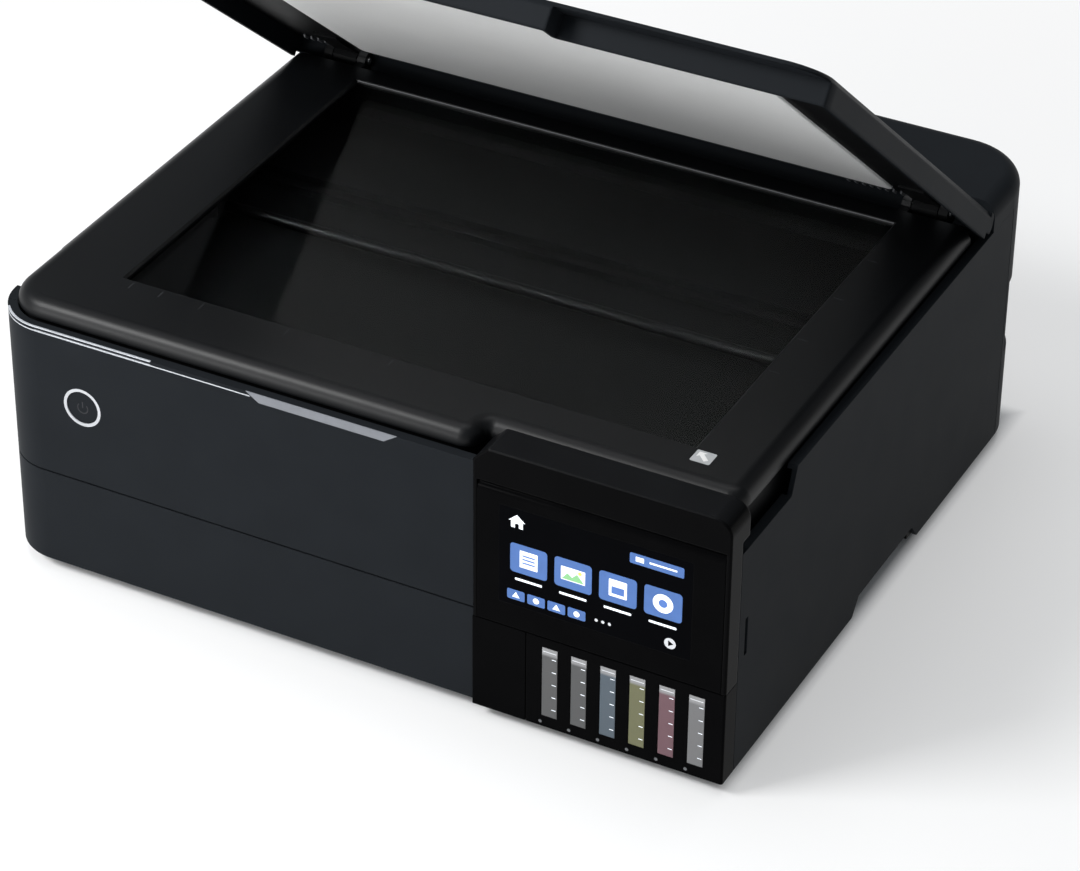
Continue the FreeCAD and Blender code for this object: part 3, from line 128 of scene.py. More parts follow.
EMPTY_TANK = (0.26, 0.26, 0.265)


def new_material(name):
    mat = bpy.data.materials.new(name)
    mat.use_nodes = True
    tree = mat.node_tree
    shader = tree.nodes["Principled BSDF"]
    coord = tree.nodes.new("ShaderNodeTexCoord")
    return mat, tree, shader, coord


def noise(tree, coord, scale, detail=CLOUD_DETAIL):
    node = tree.nodes.new("ShaderNodeTexNoise")
    node.inputs["Scale"].default_value = scale
    node.inputs["Detail"].default_value = detail
    tree.links.new(coord.outputs["Object"], node.inputs["Vector"])
    return node


def ramp(tree, source, stops, constant=False):
    node = tree.nodes.new("ShaderNodeValToRGB")
    node.color_ramp.interpolation = "CONSTANT" if constant else "LINEAR"
    elements = node.color_ramp.elements
    while len(elements) < len(stops):
        elements.new(0.5)
    for element, (place, colour) in zip(elements, stops):
        element.position = place
        element.color = (*colour, 1)
    tree.links.new(source, node.inputs["Fac"])
    return node.outputs["Color"]


def map_range(tree, source, start, end):
    """The source carried from the span start to the span end."""
    node = tree.nodes.new("ShaderNodeMapRange")
    node.inputs["From Min"].default_value, node.inputs["From Max"].default_value = start
    node.inputs["To Min"].default_value, node.inputs["To Max"].default_value = end
    tree.links.new(source, node.inputs["Value"])
    return node.outputs["Result"]


def combine(tree, operation, first, second):
    node = tree.nodes.new("ShaderNodeMath")
    node.operation = operation
    tree.links.new(first, node.inputs[0])
    tree.links.new(second, node.inputs[1])
    return node.outputs["Value"]


def mix_colours(tree, share, first, second):
    node = tree.nodes.new("ShaderNodeMix")
    node.data_type = "RGBA"
    tree.links.new(share, node.inputs["Factor"])
    tree.links.new(first, node.inputs["A"])
    tree.links.new(second, node.inputs["B"])
    return node.outputs["Result"]


def axis(tree, source, name):
    """One axis of a vector."""
    split = tree.nodes.new("ShaderNodeSeparateXYZ")
    tree.links.new(source, split.inputs["Vector"])
    return split.outputs[name]


def clouded(tree, clouds, base, vary):
    """A colour that drifts by vary either way."""
    shades = [[min(1, c * share) for c in base] for share in (1 - vary, 1 + vary)]
    return ramp(tree, clouds.outputs["Fac"], list(zip(CLOUD_STOPS, shades)))


def grained_normal(tree, coord, shader, grain, depth, bevel):
    """Fine moulded grain over softened edges."""
    soft = tree.nodes.new("ShaderNodeBevel")
    soft.samples = BEVEL_SAMPLES
    soft.inputs["Radius"].default_value = bevel
    bump = tree.nodes.new("ShaderNodeBump")
    bump.inputs["Distance"].default_value = depth
    bump.inputs["Strength"].default_value = BUMP_STRENGTH
    tree.links.new(noise(tree, coord, grain, GRAIN_DETAIL).outputs["Fac"], bump.inputs["Height"])
    tree.links.new(soft.outputs["Normal"], bump.inputs["Normal"])
    tree.links.new(bump.outputs["Normal"], shader.inputs["Normal"])


def finish_material(name, base, rough, vary=0.12, cloud=CLOUD_SCALE, grain=GRAIN_SCALE, depth=0.00003,
                    bevel=0.0005, rough_vary=0.05, metal=0.0, specular=0.5):
    """Plastic, rubber or metal with clouded colour, uneven roughness, fine grain and softened edges."""
    mat, tree, shader, coord = new_material(name)
    clouds = noise(tree, coord, cloud)
    tree.links.new(clouded(tree, clouds, base, vary), shader.inputs["Base Color"])
    uneven = map_range(tree, clouds.outputs["Fac"], (0, 1), (rough - rough_vary, rough + rough_vary))
    tree.links.new(uneven, shader.inputs["Roughness"])
    grained_normal(tree, coord, shader, grain, depth, bevel)
    shader.inputs["Metallic"].default_value = metal
    shader.inputs["Specular IOR Level"].default_value = specular
    return mat


def hood_painted_sheen_material(front, top, specular):
    """Panel hood: polished on its front and matt on the faces that look up, which also get a lighter colour
    as a painted sheen.
    """
    mat, tree, shader, coord = new_material("hood_look")
    clouds = noise(tree, coord, CLOUD_SCALE)
    facing_up = map_range(tree, axis(tree, coord.outputs["Normal"], "Z"), HOOD_TILT, (0, 1))
    # Faces that look up take the lighter top colour: a painted sheen.
    shades = [clouded(tree, clouds, colour, HOOD_VARY) for colour in (front, top)]
    tree.links.new(mix_colours(tree, facing_up, *shades), shader.inputs["Base Color"])
    tree.links.new(map_range(tree, facing_up, (0, 1), HOOD_ROUGH), shader.inputs["Roughness"])
    grained_normal(tree, coord, shader, **HOOD_GRAIN)
    shader.inputs["Specular IOR Level"].default_value = specular
    return mat


def lit_material(name, base, glow, vary=0.06):
    """Display or lamp surface: its own colour plus a little light of the same colour. Pieces that are no
    lamps use it too, and there that light is painted light.
    """
    mat, tree, shader, coord = new_material(name)
    colour = clouded(tree, noise(tree, coord, LIT_CLOUD), base, vary)
    tree.links.new(colour, shader.inputs["Base Color"])
    tree.links.new(colour, shader.inputs["Emission Color"])
    shader.inputs["Emission Strength"].default_value = glow
    shader.inputs["Roughness"].default_value = LIT_ROUGH
    return mat


def glass_material():
    """Clear flatbed glass, with faint streaks in its polish."""
    mat, tree, shader, coord = new_material("bed_glass_look")
    streaks = noise(tree, coord, GLASS_STREAKS)
    tree.links.new(clouded(tree, streaks, GLASS_TINT, GLASS_VARY), shader.inputs["Base Color"])
    polish = map_range(tree, streaks.outputs["Fac"], (0, 1), GLASS_ROUGH)
    tree.links.new(polish, shader.inputs["Roughness"])
    shader.inputs["IOR"].default_value = GLASS_IOR
    shader.inputs["Transmission Weight"].default_value = 1.0
    return mat


def tank_material():
    """Six translucent tanks: the tint steps from tank to tank and pales in the empty top."""
    mat, tree, shader, coord = new_material("tank_look")
    width = (TANK_LEFT * MM, TANK_RIGHT * MM)
    across = map_range(tree, axis(tree, coord.outputs["Object"], "X"), width, (0, 1))
    tint = ramp(tree, across, [(i / TANK_COUNT, ink) for i, ink in enumerate(INKS)], constant=True)
    surface = [(INK_LEVEL + edge) * MM for edge in INK_EDGE]
    above = map_range(tree, axis(tree, coord.outputs["Object"], "Z"), surface, (0, 1))
    pale = clouded(tree, noise(tree, coord, TANK_CLOUD), EMPTY_TANK, TANK_VARY)
    tree.links.new(mix_colours(tree, above, tint, pale), shader.inputs["Base Color"])
    shader.inputs["Roughness"].default_value = TANK_ROUGH
    return mat


BODY_BLACK = (0.0122, 0.0140, 0.0163)
GLOSS_BLACK = (0.0018, 0.0018, 0.0020)
LOOKS = {
    "body": finish_material("body_look", BODY_BLACK, rough=0.46, vary=0.05, depth=0.00004, bevel=0.0006,
                            specular=0.022),
    "shell": finish_material("shell_look", BODY_BLACK, rough=0.46, vary=0.05, depth=0.00004, bevel=0.0022,
                             specular=0.022),
    "bed": finish_material("bed_look", (0.0024, 0.0028, 0.0034), rough=0.40, depth=0.00002, bevel=0.0006,
                           specular=0.21),
    "gloss": finish_material("gloss_look", GLOSS_BLACK, rough=0.12, rough_vary=0.02, depth=0.000005,
                             grain=300.0, specular=0.013),
    # The hood's lighter top colour is a painted sheen on the faces that look up.
    "hood": hood_painted_sheen_material(front=GLOSS_BLACK, top=(0.0068, 0.0072, 0.0080), specular=0.022),
    "inner": finish_material("inner_look", (0.0050, 0.0052, 0.0056), rough=0.50, depth=0.000001,
                             specular=0.08),
    "mark": finish_material("mark_look", (0.030, 0.031, 0.034), rough=0.45, specular=0.1),
    "screen": finish_material("screen_look", (0.0012, 0.0013, 0.0018), rough=0.08, rough_vary=0.01,
                              depth=0.000002, specular=0.012),
    "glass": glass_material(),
    "pad": finish_material("pad_look", (0.82, 0.82, 0.81), rough=0.55, vary=0.03, cloud=9.0, depth=0.00002),
    "lamp": lit_material("lamp_look", (0.160, 0.169, 0.187), glow=0.03),
    # The line look is the painted highlight of the rim lines, and it glows though they are no lamp.
    "line": lit_material("rim_highlight_look", (0.40, 0.42, 0.45), glow=0.05),
    # The edge look is a painted highlight on the window edge and a painted glint on the hinge ribs, glowing
    # a little; on the tank dots it is their plain grey.
    "edge": lit_material("edge_look", (0.10, 0.103, 0.11), glow=0.02),
    "tile": lit_material("tile_look", (0.42, 0.43, 0.44), glow=0.02),
    "ring": lit_material("ring_look", (0.42, 0.43, 0.45), glow=0.08),
    "tank": tank_material(),
    "rubber": finish_material("rubber_look", (0.014, 0.014, 0.015), rough=0.75, grain=900.0, depth=0.00008,
                              specular=0.2),
    "steel": finish_material("steel_look", (0.56, 0.57, 0.58), rough=0.34, vary=0.08, metal=1.0,
                             depth=0.00001),
    "rail": finish_material("rail_look", (0.014, 0.0145, 0.015), rough=0.50, vary=0.10, metal=1.0,
                            depth=0.00001),
    "gear": finish_material("gear_look", (0.66, 0.65, 0.61), rough=0.48, vary=0.05),
    "board": finish_material("board_look", (0.020, 0.120, 0.050), rough=0.40, vary=0.25, cloud=160.0),
    "film": finish_material("film_look", (0.45, 0.46, 0.46), rough=0.25, vary=0.05),
    "blue": lit_material("tile_blue", (0.045, 0.115, 0.32), glow=0.38),
    "deep": lit_material("tile_deep", (0.060, 0.140, 0.40), glow=0.45),
    "pale": lit_material("tile_pale", (0.80, 0.84, 0.90), glow=0.50),
    "yellow": lit_material("tile_yellow", (0.75, 0.58, 0.10), glow=0.40),
    "green": lit_material("tile_green", (0.20, 0.45, 0.20), glow=0.40),
    "grey": lit_material("tile_grey", (0.50, 0.51, 0.53), glow=0.35),
}
NODE_LOOKS = {
    "shell": ["document_lid"],
    "body": ["left_side_cover", "right_side_cover", "rear_cover", "rear_top_cover", "front_fascia",
             "front_cover", "rear_feed_cover", "rear_paper_cover", "power_button", "paper_cassette",
             "output_tray", "rear_feed_tray", "left_edge_guide", "right_edge_guide"],
    "bed": ["scanner_frame"],
    "hood": ["panel_frame"],
    "gloss": ["panel_bezel", "tank_cover", "tank_trim"],
    "inner": ["base_tray", "scanner_pan", "front_frame", "lid_inner_panel", "lid_hinge_arms",
              "scan_carriage", "print_carriage", "platen", "cap_station", "filler_cover", "ac_inlet",
              "power_supply", "print_head", "hinge_brackets"],
    "screen": ["touch_screen"],
    "glass": ["scanner_glass"],
    "pad": ["document_pad"],
    "lamp": ["status_lights"],
    "ring": ["power_light_ring"],
    "tank": ["ink_tanks"],
    "rubber": ["rubber_feet", "feed_tyres", "exit_tyres", "carriage_belt"],
    "rail": ["scan_rail"],
    "steel": ["main_chassis", "guide_shaft", "hinge_pins", "feed_shaft", "exit_shaft", "carriage_motor",
              "feed_motor", "interface_ports"],
    "gear": ["feed_gear", "idler_gear", "exit_gear", "motor_pinion", "waste_ink_box"],
    "board": ["main_board"],
    "film": ["encoder_strip"],
}
for look, nodes in NODE_LOOKS.items():
    for node in nodes:
        mesh = frame["nodes"][node].data
        mesh.materials.clear()
        mesh.materials.append(LOOKS[look])


# Tools for the pieces made here
CORNER_STEPS = 4
ROUND_SIDES, SIGN_SIDES, PAGE_DOT_SIDES, TANK_DOT_SIDES = 24, 16, 12, 14


def mesh_piece(name, shape, look, body, turn=None):
    """A closed mesh in millimetres as a piece that rides on a body, with its normals facing out."""
    verts, faces = shape
    points = [Vector(v) * MM for v in verts]
    if turn:
        points = [turn @ p for p in points]
    mesh = bpy.data.meshes.new(name)
    mesh.from_pydata(points, [], faces)
    work = bmesh.new()
    work.from_mesh(mesh)
    bmesh.ops.recalc_face_normals(work, faces=work.faces)
    work.to_mesh(mesh)
    work.free()
    mesh.materials.append(LOOKS[look])
    obj = bpy.data.objects.new(name, mesh)
    bpy.context.scene.collection.objects.link(obj)
    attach(obj, body)
    return obj


def skin(rings):
    """Closed solid through rings of as many points each."""
    count = len(rings[0])
    verts = [point for ring in rings for point in ring]
    faces = [tuple(range(count)), tuple(range(len(verts) - count, len(verts)))]
    for start in range(0, len(verts) - count, count):
        for i in range(count):
            j = (i + 1) % count
            faces.append((start + i, start + j, start + count + j, start + count + i))
    return verts, faces


def join(shapes):
    """Several shapes as one mesh."""
    verts, faces = [], []
    for shape_verts, shape_faces in shapes:
        start = len(verts)
        verts += shape_verts
        faces += [tuple(start + i for i in face) for face in shape_faces]
    return verts, faces


def front_print(outline, y, thick=PRINT_THICK):
    """Flat print that stands forward of the plane y."""
    return skin([[(u, y - side, v) for u, v in outline] for side in (0, thick)])


def bed_print(outline, z, thick=PRINT_THICK):
    """Flat print that stands on the height z."""
    return skin([[(u, v, z + side) for u, v in outline] for side in (0, thick)])


def rectangle(left, right, low, high, r=0.0, steps=CORNER_STEPS):
    """Outline, with its corners rounded where r is given."""
    if r <= 0:
        return [(left, low), (right, low), (right, high), (left, high)]
    out = []
    corners = ((right - r, low + r), (right - r, high - r), (left + r, high - r), (left + r, low + r))
    for turn, (u, v) in enumerate(corners):
        for i in range(steps + 1):
            a = math.radians(90 * (turn - 1 + i / steps))
            out.append((u + r * math.cos(a), v + r * math.sin(a)))
    return out


def disc(u, v, r, count=ROUND_SIDES):
    angles = [2 * math.pi * i / count for i in range(count)]
    return [(u + r * math.cos(a), v + r * math.sin(a)) for a in angles]


def moved(outline, u, v):
    return [(u + a, v + b) for a, b in outline]


# White sheet on foam that stands for the pad under the lid
PAD_LAP_LEFT, PAD_LAP_REAR = 2.5, 5.0
PAD_INSET_RIGHT, PAD_INSET_FRONT = 5.5, 9.0
PAD_CORNER = 3.0
PAD_GAP, PAD_THICK = 0.32, 1.43
PAD_UNDER = BED_Z + PAD_GAP
PAD_TOP = PAD_UNDER + PAD_THICK
PAD_EDGE = [(0.0, PAD_THICK), (0.0, 0.43), (0.35, 0.10), (1.2, 0.0)]


def document_pad():
    rings = []
    left, right = WINDOW_LEFT - PAD_LAP_LEFT, WINDOW_RIGHT - PAD_INSET_RIGHT
    front, rear = WINDOW_FRONT + PAD_INSET_FRONT, WINDOW_REAR + PAD_LAP_REAR
    for inset, rise in PAD_EDGE:
        outline = rectangle(left + inset, right - inset, front + inset, rear - inset, PAD_CORNER)
        rings.append([(u, v, PAD_UNDER + rise) for u, v in outline])
    pad = mesh_piece("pad_sheet", skin(rings), "pad", "lid", LID_TURN)
    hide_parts("document_pad")


document_pad()


# Generic pictures on the screen, placed from its lower left corner
TILE_COUNT = 4
TILE_START, TILE_PITCH, TILE_WIDTH = 6.1, 23.1, 19.3
TILE_LOW, TILE_HIGH = 19.4, 35.7
TILE_CORNER, SMALL_CORNER, PAGE_CORNER = 1.8, 0.8, 0.4
TILES = [TILE_START + TILE_PITCH * i for i in range(TILE_COUNT)]
CAPTION_LOW, CAPTION_HIGH, CAPTION_INSET = 15.0, 16.3, 2.6
SMALL_START, SMALL_PITCH, SMALL_WIDTH = 4.6, 10.6, 9.2
SMALL_LOW, SMALL_HIGH = 3.4, 9.0
SMALL_TILES = [SMALL_START + SMALL_PITCH * i for i in range(TILE_COUNT)]
WIDE_TILE = (67.6, 95.1, 45.0, 50.8)
WIDE_MARKS = [(70.6, 74.8, 46.6, 49.2), (77.6, 91.6, 47.4, 48.4)]
PAGE = (5.0, 14.3, 3.6, 13.1)
WIDE_PAGE = (3.4, 15.9, 4.4, 11.9)
PAGE_LINE = (6.4, 12.9, 6.0, 6.8)
PAGE_LINE_PITCH, PAGE_LINE_COUNT = 2.0, 3
PAGE_BLOCK = (6.4, 12.9, 5.2, 9.2)
WHEEL_PLACE, WHEEL_R, WHEEL_BORE = (9.6, 8.2), 5.2, 2.2
HILLS = [(3.8, 4.9), (15.5, 4.9), (11.8, 9.4), (9.2, 6.8), (6.8, 8.6)]
SUN_PLACE, SUN_R = (13.2, 10.2), 1.0
HOME_PLACE = (9.5, 44.4)
HOME = [(0, 7.4), (-4.3, 3.6), (-3.1, 3.6), (-3.1, 0), (-1, 0), (-1, 2.4), (1, 2.4), (1, 0), (3.1, 0),
        (3.1, 3.6), (4.3, 3.6)]
SMALL_MARK_PLACE, SMALL_MARK_R = (4.6, 6.2), 1.6
SMALL_PEAK = [(-2.0, -1.4), (2.0, -1.4), (0, 1.8)]
DOT_START, DOT_PITCH, DOT_COUNT, DOT_R = 51.2, 3.4, 3, 0.85
ROUND_PLACE, ROUND_R = (89.1, 6.4), 3.0
ROUND_ARROW = [(-0.9, -1.6), (-0.9, 1.6), (1.7, 0)]
LAYER_STEP = 0.05


def screen_piece(name, outlines, look, layer):
    """Prints on the screen, each layer a little forward of the one below."""
    y = PANEL_Y - PRINT_LIFT - LAYER_STEP * layer
    shapes = [front_print(moved(outline, SCREEN_LEFT, SCREEN_LOW), y) for outline in outlines]
    mesh_piece(name, join(shapes), look, "control_panel")


def screen_tiles():
    wide = [rectangle(t, t + TILE_WIDTH, TILE_LOW, TILE_HIGH, TILE_CORNER) for t in TILES]
    screen_piece("screen_tiles", wide, "blue", 0)
    small = [rectangle(t, t + SMALL_WIDTH, SMALL_LOW, SMALL_HIGH, SMALL_CORNER) for t in SMALL_TILES]
    screen_piece("screen_small_tiles", small, "blue", 0)
    screen_piece("screen_wide_tile", [rectangle(*WIDE_TILE, SMALL_CORNER)], "blue", 0)
    captions = [rectangle(t + CAPTION_INSET, t + TILE_WIDTH - CAPTION_INSET, CAPTION_LOW, CAPTION_HIGH,
                          PAGE_CORNER) for t in TILES]
    screen_piece("screen_captions", captions, "pale", 0)


def tile_pictures():
    text, photo, form, wheel = TILES
    page = rectangle(*PAGE, PAGE_CORNER)
    pages = [moved(page, text, TILE_LOW), moved(rectangle(*WIDE_PAGE, PAGE_CORNER), photo, TILE_LOW),
             moved(page, form, TILE_LOW), moved(disc(*WHEEL_PLACE, WHEEL_R), wheel, TILE_LOW)]
    screen_piece("screen_pages", pages, "pale", 1)
    line = rectangle(*PAGE_LINE)
    marks = [moved(line, text, TILE_LOW + PAGE_LINE_PITCH * k) for k in range(PAGE_LINE_COUNT)]
    marks.append(moved(rectangle(*PAGE_BLOCK), form, TILE_LOW))
    marks.append(moved(disc(*WHEEL_PLACE, WHEEL_BORE), wheel, TILE_LOW))
    screen_piece("screen_page_marks", marks, "deep", 2)
    screen_piece("screen_hills", [moved(HILLS, photo, TILE_LOW)], "green", 2)
    screen_piece("screen_sun", [moved(disc(*SUN_PLACE, SUN_R), photo, TILE_LOW)], "yellow", 2)


def screen_signs():
    screen_piece("screen_home", [moved(HOME, *HOME_PLACE)], "pale", 0)
    u, v = SMALL_MARK_PLACE
    marks = []
    for i, tile in enumerate(SMALL_TILES):
        shape = disc(0, 0, SMALL_MARK_R, SIGN_SIDES) if i % 2 else SMALL_PEAK
        marks.append(moved(shape, tile + u, v))
    marks += [rectangle(*mark) for mark in WIDE_MARKS]
    screen_piece("screen_marks", marks, "pale", 1)
    dots = [disc(DOT_START + DOT_PITCH * i, ROUND_PLACE[1], DOT_R, PAGE_DOT_SIDES) for i in range(DOT_COUNT)]
    screen_piece("screen_dots", dots, "grey", 0)
    screen_piece("screen_round", [disc(*ROUND_PLACE, ROUND_R)], "grey", 0)
    screen_piece("screen_arrow", [moved(ROUND_ARROW, *ROUND_PLACE)], "screen", 1)


screen_tiles()
tile_pictures()
screen_signs()


# Faint sign for power on the button
SIGN_OUTER, SIGN_INNER = 3.2, 2.6
SIGN_START, SIGN_END, SIGN_STEP = 50, 310, 20
SIGN_DROP = 0.4
SIGN_BAR = (-0.3, 0.3, -0.2, 3.2)


def power_sign():
    low, high = span("power_light_ring")
    x, z = (low[0] + high[0]) / 2, (low[2] + high[2]) / 2
    face = span("power_button")[0][1] - PRINT_LIFT / 2
    angles = [math.radians(a) for a in range(SIGN_START, SIGN_END + 1, SIGN_STEP)]
    outer, inner = [[(x + r * math.sin(a), z - SIGN_DROP + r * math.cos(a)) for a in angles]
                    for r in (SIGN_OUTER, SIGN_INNER)]
    bands = [[outer[i], outer[i + 1], inner[i + 1], inner[i]] for i in range(len(angles) - 1)]
    shapes = [front_print(band, face) for band in bands]
    shapes.append(front_print(moved(rectangle(*SIGN_BAR), x, z), face))
    mesh_piece("power_sign", join(shapes), "mark", "power_key")


power_sign()


# Light lines along the rim of the fascia, from round the left corner: painted highlights, which also glow a
# little
LINE_DROPS = (2.55, 1.95)
LINE_PROUD = 0.08
STRIP_FRONT, STRIP_DEEP = 0.35, 1.0
STRIP_REACH = 94.4
RIM_START, RIM_END, RIM_STEPS = 220, 270, 10
BAR_SLANT = 2.2


def rim_path(end):
    """Points along the top of the fascia with the outward direction at each."""
    x, y = BODY_LEFT + FRONT_CORNER, FACE_Y + FRONT_CORNER
    step = (RIM_END - RIM_START) / RIM_STEPS
    angles = [math.radians(RIM_START + step * i) for i in range(RIM_STEPS + 1)]
    path = [(x + FRONT_CORNER * math.cos(a), y + FRONT_CORNER * math.sin(a), math.cos(a), math.sin(a))
            for a in angles]
    return path + [(end, FACE_Y, 0, -1)]


def along_rim(section, end):
    """Section of (outward, height) points carried along the rim."""
    return skin([[(x + out * across, y + out * ahead, z) for out, z in section]
                 for x, y, across, ahead in rim_path(end)])


def painted_rim_highlights():
    low, high = [RIM_Z - drop for drop in LINE_DROPS]
    line = [(-LINE_PROUD, low), (0, low), (LINE_PROUD, low + LINE_PROUD), (LINE_PROUD, high - LINE_PROUD),
            (0, high), (-LINE_PROUD, high)]
    mesh_piece("rim_highlight_line", along_rim(line, BAR_LEFT + BAR_SLANT), "line", "printer_body")
    top = RIM_Z + LINE_PROUD
    under = RIM_Z - LINE_PROUD
    strip = [(-LINE_PROUD, RIM_Z - STRIP_FRONT), (LINE_PROUD, RIM_Z - STRIP_FRONT), (LINE_PROUD, RIM_Z),
             (0, top), (-STRIP_DEEP, top), (-STRIP_DEEP, under), (-LINE_PROUD, under)]
    mesh_piece("rim_highlight_strip", along_rim(strip, BODY_LEFT + STRIP_REACH), "line", "printer_body")


painted_rim_highlights()


# Level ticks in the tank windows, and a dot under each
TICK_COUNT, TICK_START, TICK_PITCH = 5, 7.0, 7.4
TICK = (1.2, 3.4, -0.18, 0.18)
FILL_LINE = (-3.4, 3.4, 40.0, 40.5)
TANK_DOT_PLACE, TANK_DOT_R = (-4.6, 2.6), 0.9


def tank_marks():
    y, low = TANKS_LOW[1] - PRINT_LIFT / 2, TANKS_LOW[2]
    ticks = [moved(rectangle(*TICK), x, low + TICK_START + TICK_PITCH * k)
             for x in WINDOW_CENTRES for k in range(TICK_COUNT)]
    # The ticks, fill lines and dots take glowing looks, so this print gives off light of its own: painted
    # light.
    mesh_piece("tank_ticks", join([front_print(t, y) for t in ticks]), "pale", "printer_body")
    lines = [moved(rectangle(*FILL_LINE), x, low) for x in WINDOW_CENTRES]
    mesh_piece("tank_fill_lines", join([front_print(m, y) for m in lines]), "grey", "printer_body")
    u, v = TANK_DOT_PLACE
    foot = span("tank_cover")[0][2]
    dots = [disc(x + u, foot + v, TANK_DOT_R, TANK_DOT_SIDES) for x in WINDOW_CENTRES]
    mesh_piece("tank_dots", join([front_print(d, PANEL_Y - PRINT_LIFT / 2) for d in dots]), "edge",
               "printer_body")


tank_marks()


# Size ticks round the glass, the corner arrow and a painted highlight: a light strip on the rear edge of the
# window
TICK_HALF, TICK_GAP, TICK_LENGTH = 0.35, 2.6, 5.4
FRONT_TICKS = [WINDOW_LEFT + along for along in (6.5, 23.5, 46.5, 94.5, 151.5)]
SIDE_TICKS = [WINDOW_FRONT + along for along in (73.5, 105.5, 147.5, 187.5)]
TILE_GAP, TILE_LONG, TILE_WIDE = 2.0, 10.0, 9.5
TILE_AHEAD = 11.5
TILE_FRONT = WINDOW_FRONT - TILE_AHEAD
ARROW = [(-3.4, 3.4), (-3.4, -0.6), (-2.2, 0.6), (1.6, -3.2), (3.2, -1.6), (-0.6, 2.2), (0.6, 3.4)]
EDGE_START, EDGE_END = 0.40, 0.80
EDGE_PROUD = 0.04


def bed_marks():
    z = BED_Z + PRINT_LIFT / 2
    front, side = WINDOW_FRONT - TICK_GAP, WINDOW_RIGHT + TICK_GAP
    ticks = [rectangle(x - TICK_HALF, x + TICK_HALF, front - TICK_LENGTH, front) for x in FRONT_TICKS]
    ticks += [rectangle(side, side + TICK_LENGTH, y - TICK_HALF, y + TICK_HALF) for y in SIDE_TICKS]
    mesh_piece("bed_ticks", join([bed_print(t, z) for t in ticks]), "mark", "scanner_unit")
    left = WINDOW_RIGHT + TILE_GAP
    tile = rectangle(left, left + TILE_LONG, TILE_FRONT, TILE_FRONT + TILE_WIDE, SMALL_CORNER)
    # The tile's look glows a little though the tile is no lamp: painted light.
    mesh_piece("bed_arrow_tile", bed_print(tile, z), "tile", "scanner_unit")
    arrow = moved(ARROW, left + TILE_LONG / 2, TILE_FRONT + TILE_WIDE / 2)
    mesh_piece("bed_arrow", bed_print(arrow, z + LAYER_STEP), "pad", "scanner_unit")


def painted_window_edge_highlight():
    """Thin light strip on the bevel behind the glass: a painted highlight of that edge."""
    low = BED_Z - FRAME_CHAMFER
    section = [(WINDOW_REAR + t + out, low + t - out) for t, out in
               ((EDGE_START, 0), (EDGE_END, 0), (EDGE_END, -EDGE_PROUD), (EDGE_START, -EDGE_PROUD))]
    shape = skin([[(x, y, z) for y, z in section] for x in (WINDOW_LEFT, WINDOW_RIGHT)])
    mesh_piece("painted_window_edge_highlight", shape, "edge", "scanner_unit")


bed_marks()
painted_window_edge_highlight()


# Short ribs under the rear edge of the lid, beside its hinge arms, in a light and faintly glowing colour:
# painted glints
RIB_WIDE, RIB_TALL = 1.0, 1.2
RIB_FRONT, RIB_REAR = [HINGE.y / MM - ahead for ahead in (13.5, 8.0)]
RIB_PITCH = 4.2
RIB_LEFT_IN, RIB_LEFT_COUNT = 10.5, 4
RIB_RIGHT_IN, RIB_RIGHT_COUNT = 75.0, 8


def hinge_glint_ribs(name, start, count):
    low = PAD_TOP - RIB_TALL
    profile = [(RIB_FRONT, PAD_TOP), (RIB_REAR, PAD_TOP), (RIB_REAR, low), (RIB_FRONT + RIB_TALL, low)]
    ribs = []
    for left in [start + RIB_PITCH * i for i in range(count)]:
        ribs.append(skin([[(x, y, z) for y, z in profile] for x in (left, left + RIB_WIDE)]))
    mesh_piece(name, join(ribs), "edge", "lid", LID_TURN)


hinge_glint_ribs("hinge_glint_ribs_left", BODY_LEFT + RIB_LEFT_IN, RIB_LEFT_COUNT)
hinge_glint_ribs("hinge_glint_ribs_right", -BODY_LEFT - RIB_RIGHT_IN, RIB_RIGHT_COUNT)


# Lip on the left side cover that closes the seam behind the front cover
COVER_LOW, COVER_HIGH = span("front_cover")
LIP_IN, LIP_ROOT_IN, LIP_THICK = 7.9, 3.7, 1.0
LIP_AHEAD, LIP_BEHIND = 1.3, 8.1
LIP_LIFT, LIP_OVER = 14.5, 5.0


def seam_lip():
    root, left = BODY_LEFT + LIP_ROOT_IN, BODY_LEFT + LIP_IN
    right = left + LIP_THICK
    front, rear = COVER_HIGH[1] - LIP_AHEAD, COVER_HIGH[1] + LIP_BEHIND
    section = [(left, front), (right, front), (right, rear), (root, rear), (root, rear - LIP_THICK),
               (left, rear - LIP_THICK)]
    heights = (COVER_LOW[2] + LIP_LIFT, COVER_HIGH[2] + LIP_OVER)
    shape = skin([[(x, y, z) for x, y in section] for z in heights])
    mesh_piece("seam_lip", shape, "inner", "printer_body")


seam_lip()


# Stage, light and camera, in metres, watts and degrees
WHITE = (1, 1, 1, 1)
FLOOR_HALF = 4.0
FLOOR_COLOUR = (0.92, 0.92, 0.92)
FLOOR_CLOUD, FLOOR_VARY = 2.0, 0.01
FLOOR_ROUGH, FLOOR_SPECULAR = 0.6, 0.2
FLOOR_REACH = (0.40, 0.95)
FLOOR_GLOW = (0.43, 1.0)
CONTACT_INSET, CONTACT_REACH = 0.006, 0.004
SKY_COLOUR = (0.9, 0.95, 1.0, 1)
SKY_STRENGTH = (0.16, 0.44)
SKY_BRIGHT_SIDE = (-0.5, -0.87, 0)
BACKDROP_TOP = (0.05, 0.20)
LAMPS = {
    "key": dict(place=(-1.1, -1.2, 1.5), target=(0, 0, 0.1), size=(0.8, 0.55), power=40),
    "top": dict(place=(-0.2, 0.3, 2.2), target=(0, 0, 0.1), size=(1.6, 1.2), power=17),
    "front": dict(place=(-0.60, -1.05, 0.32), target=(-0.08, -0.1, 0.14), size=(0.6, 0.3), power=5),
}
CAMERA_PLACE = (0.791266, -1.513289, 1.176312)
CAMERA_TURN = (56.2621, -0.2533, 28.0621)
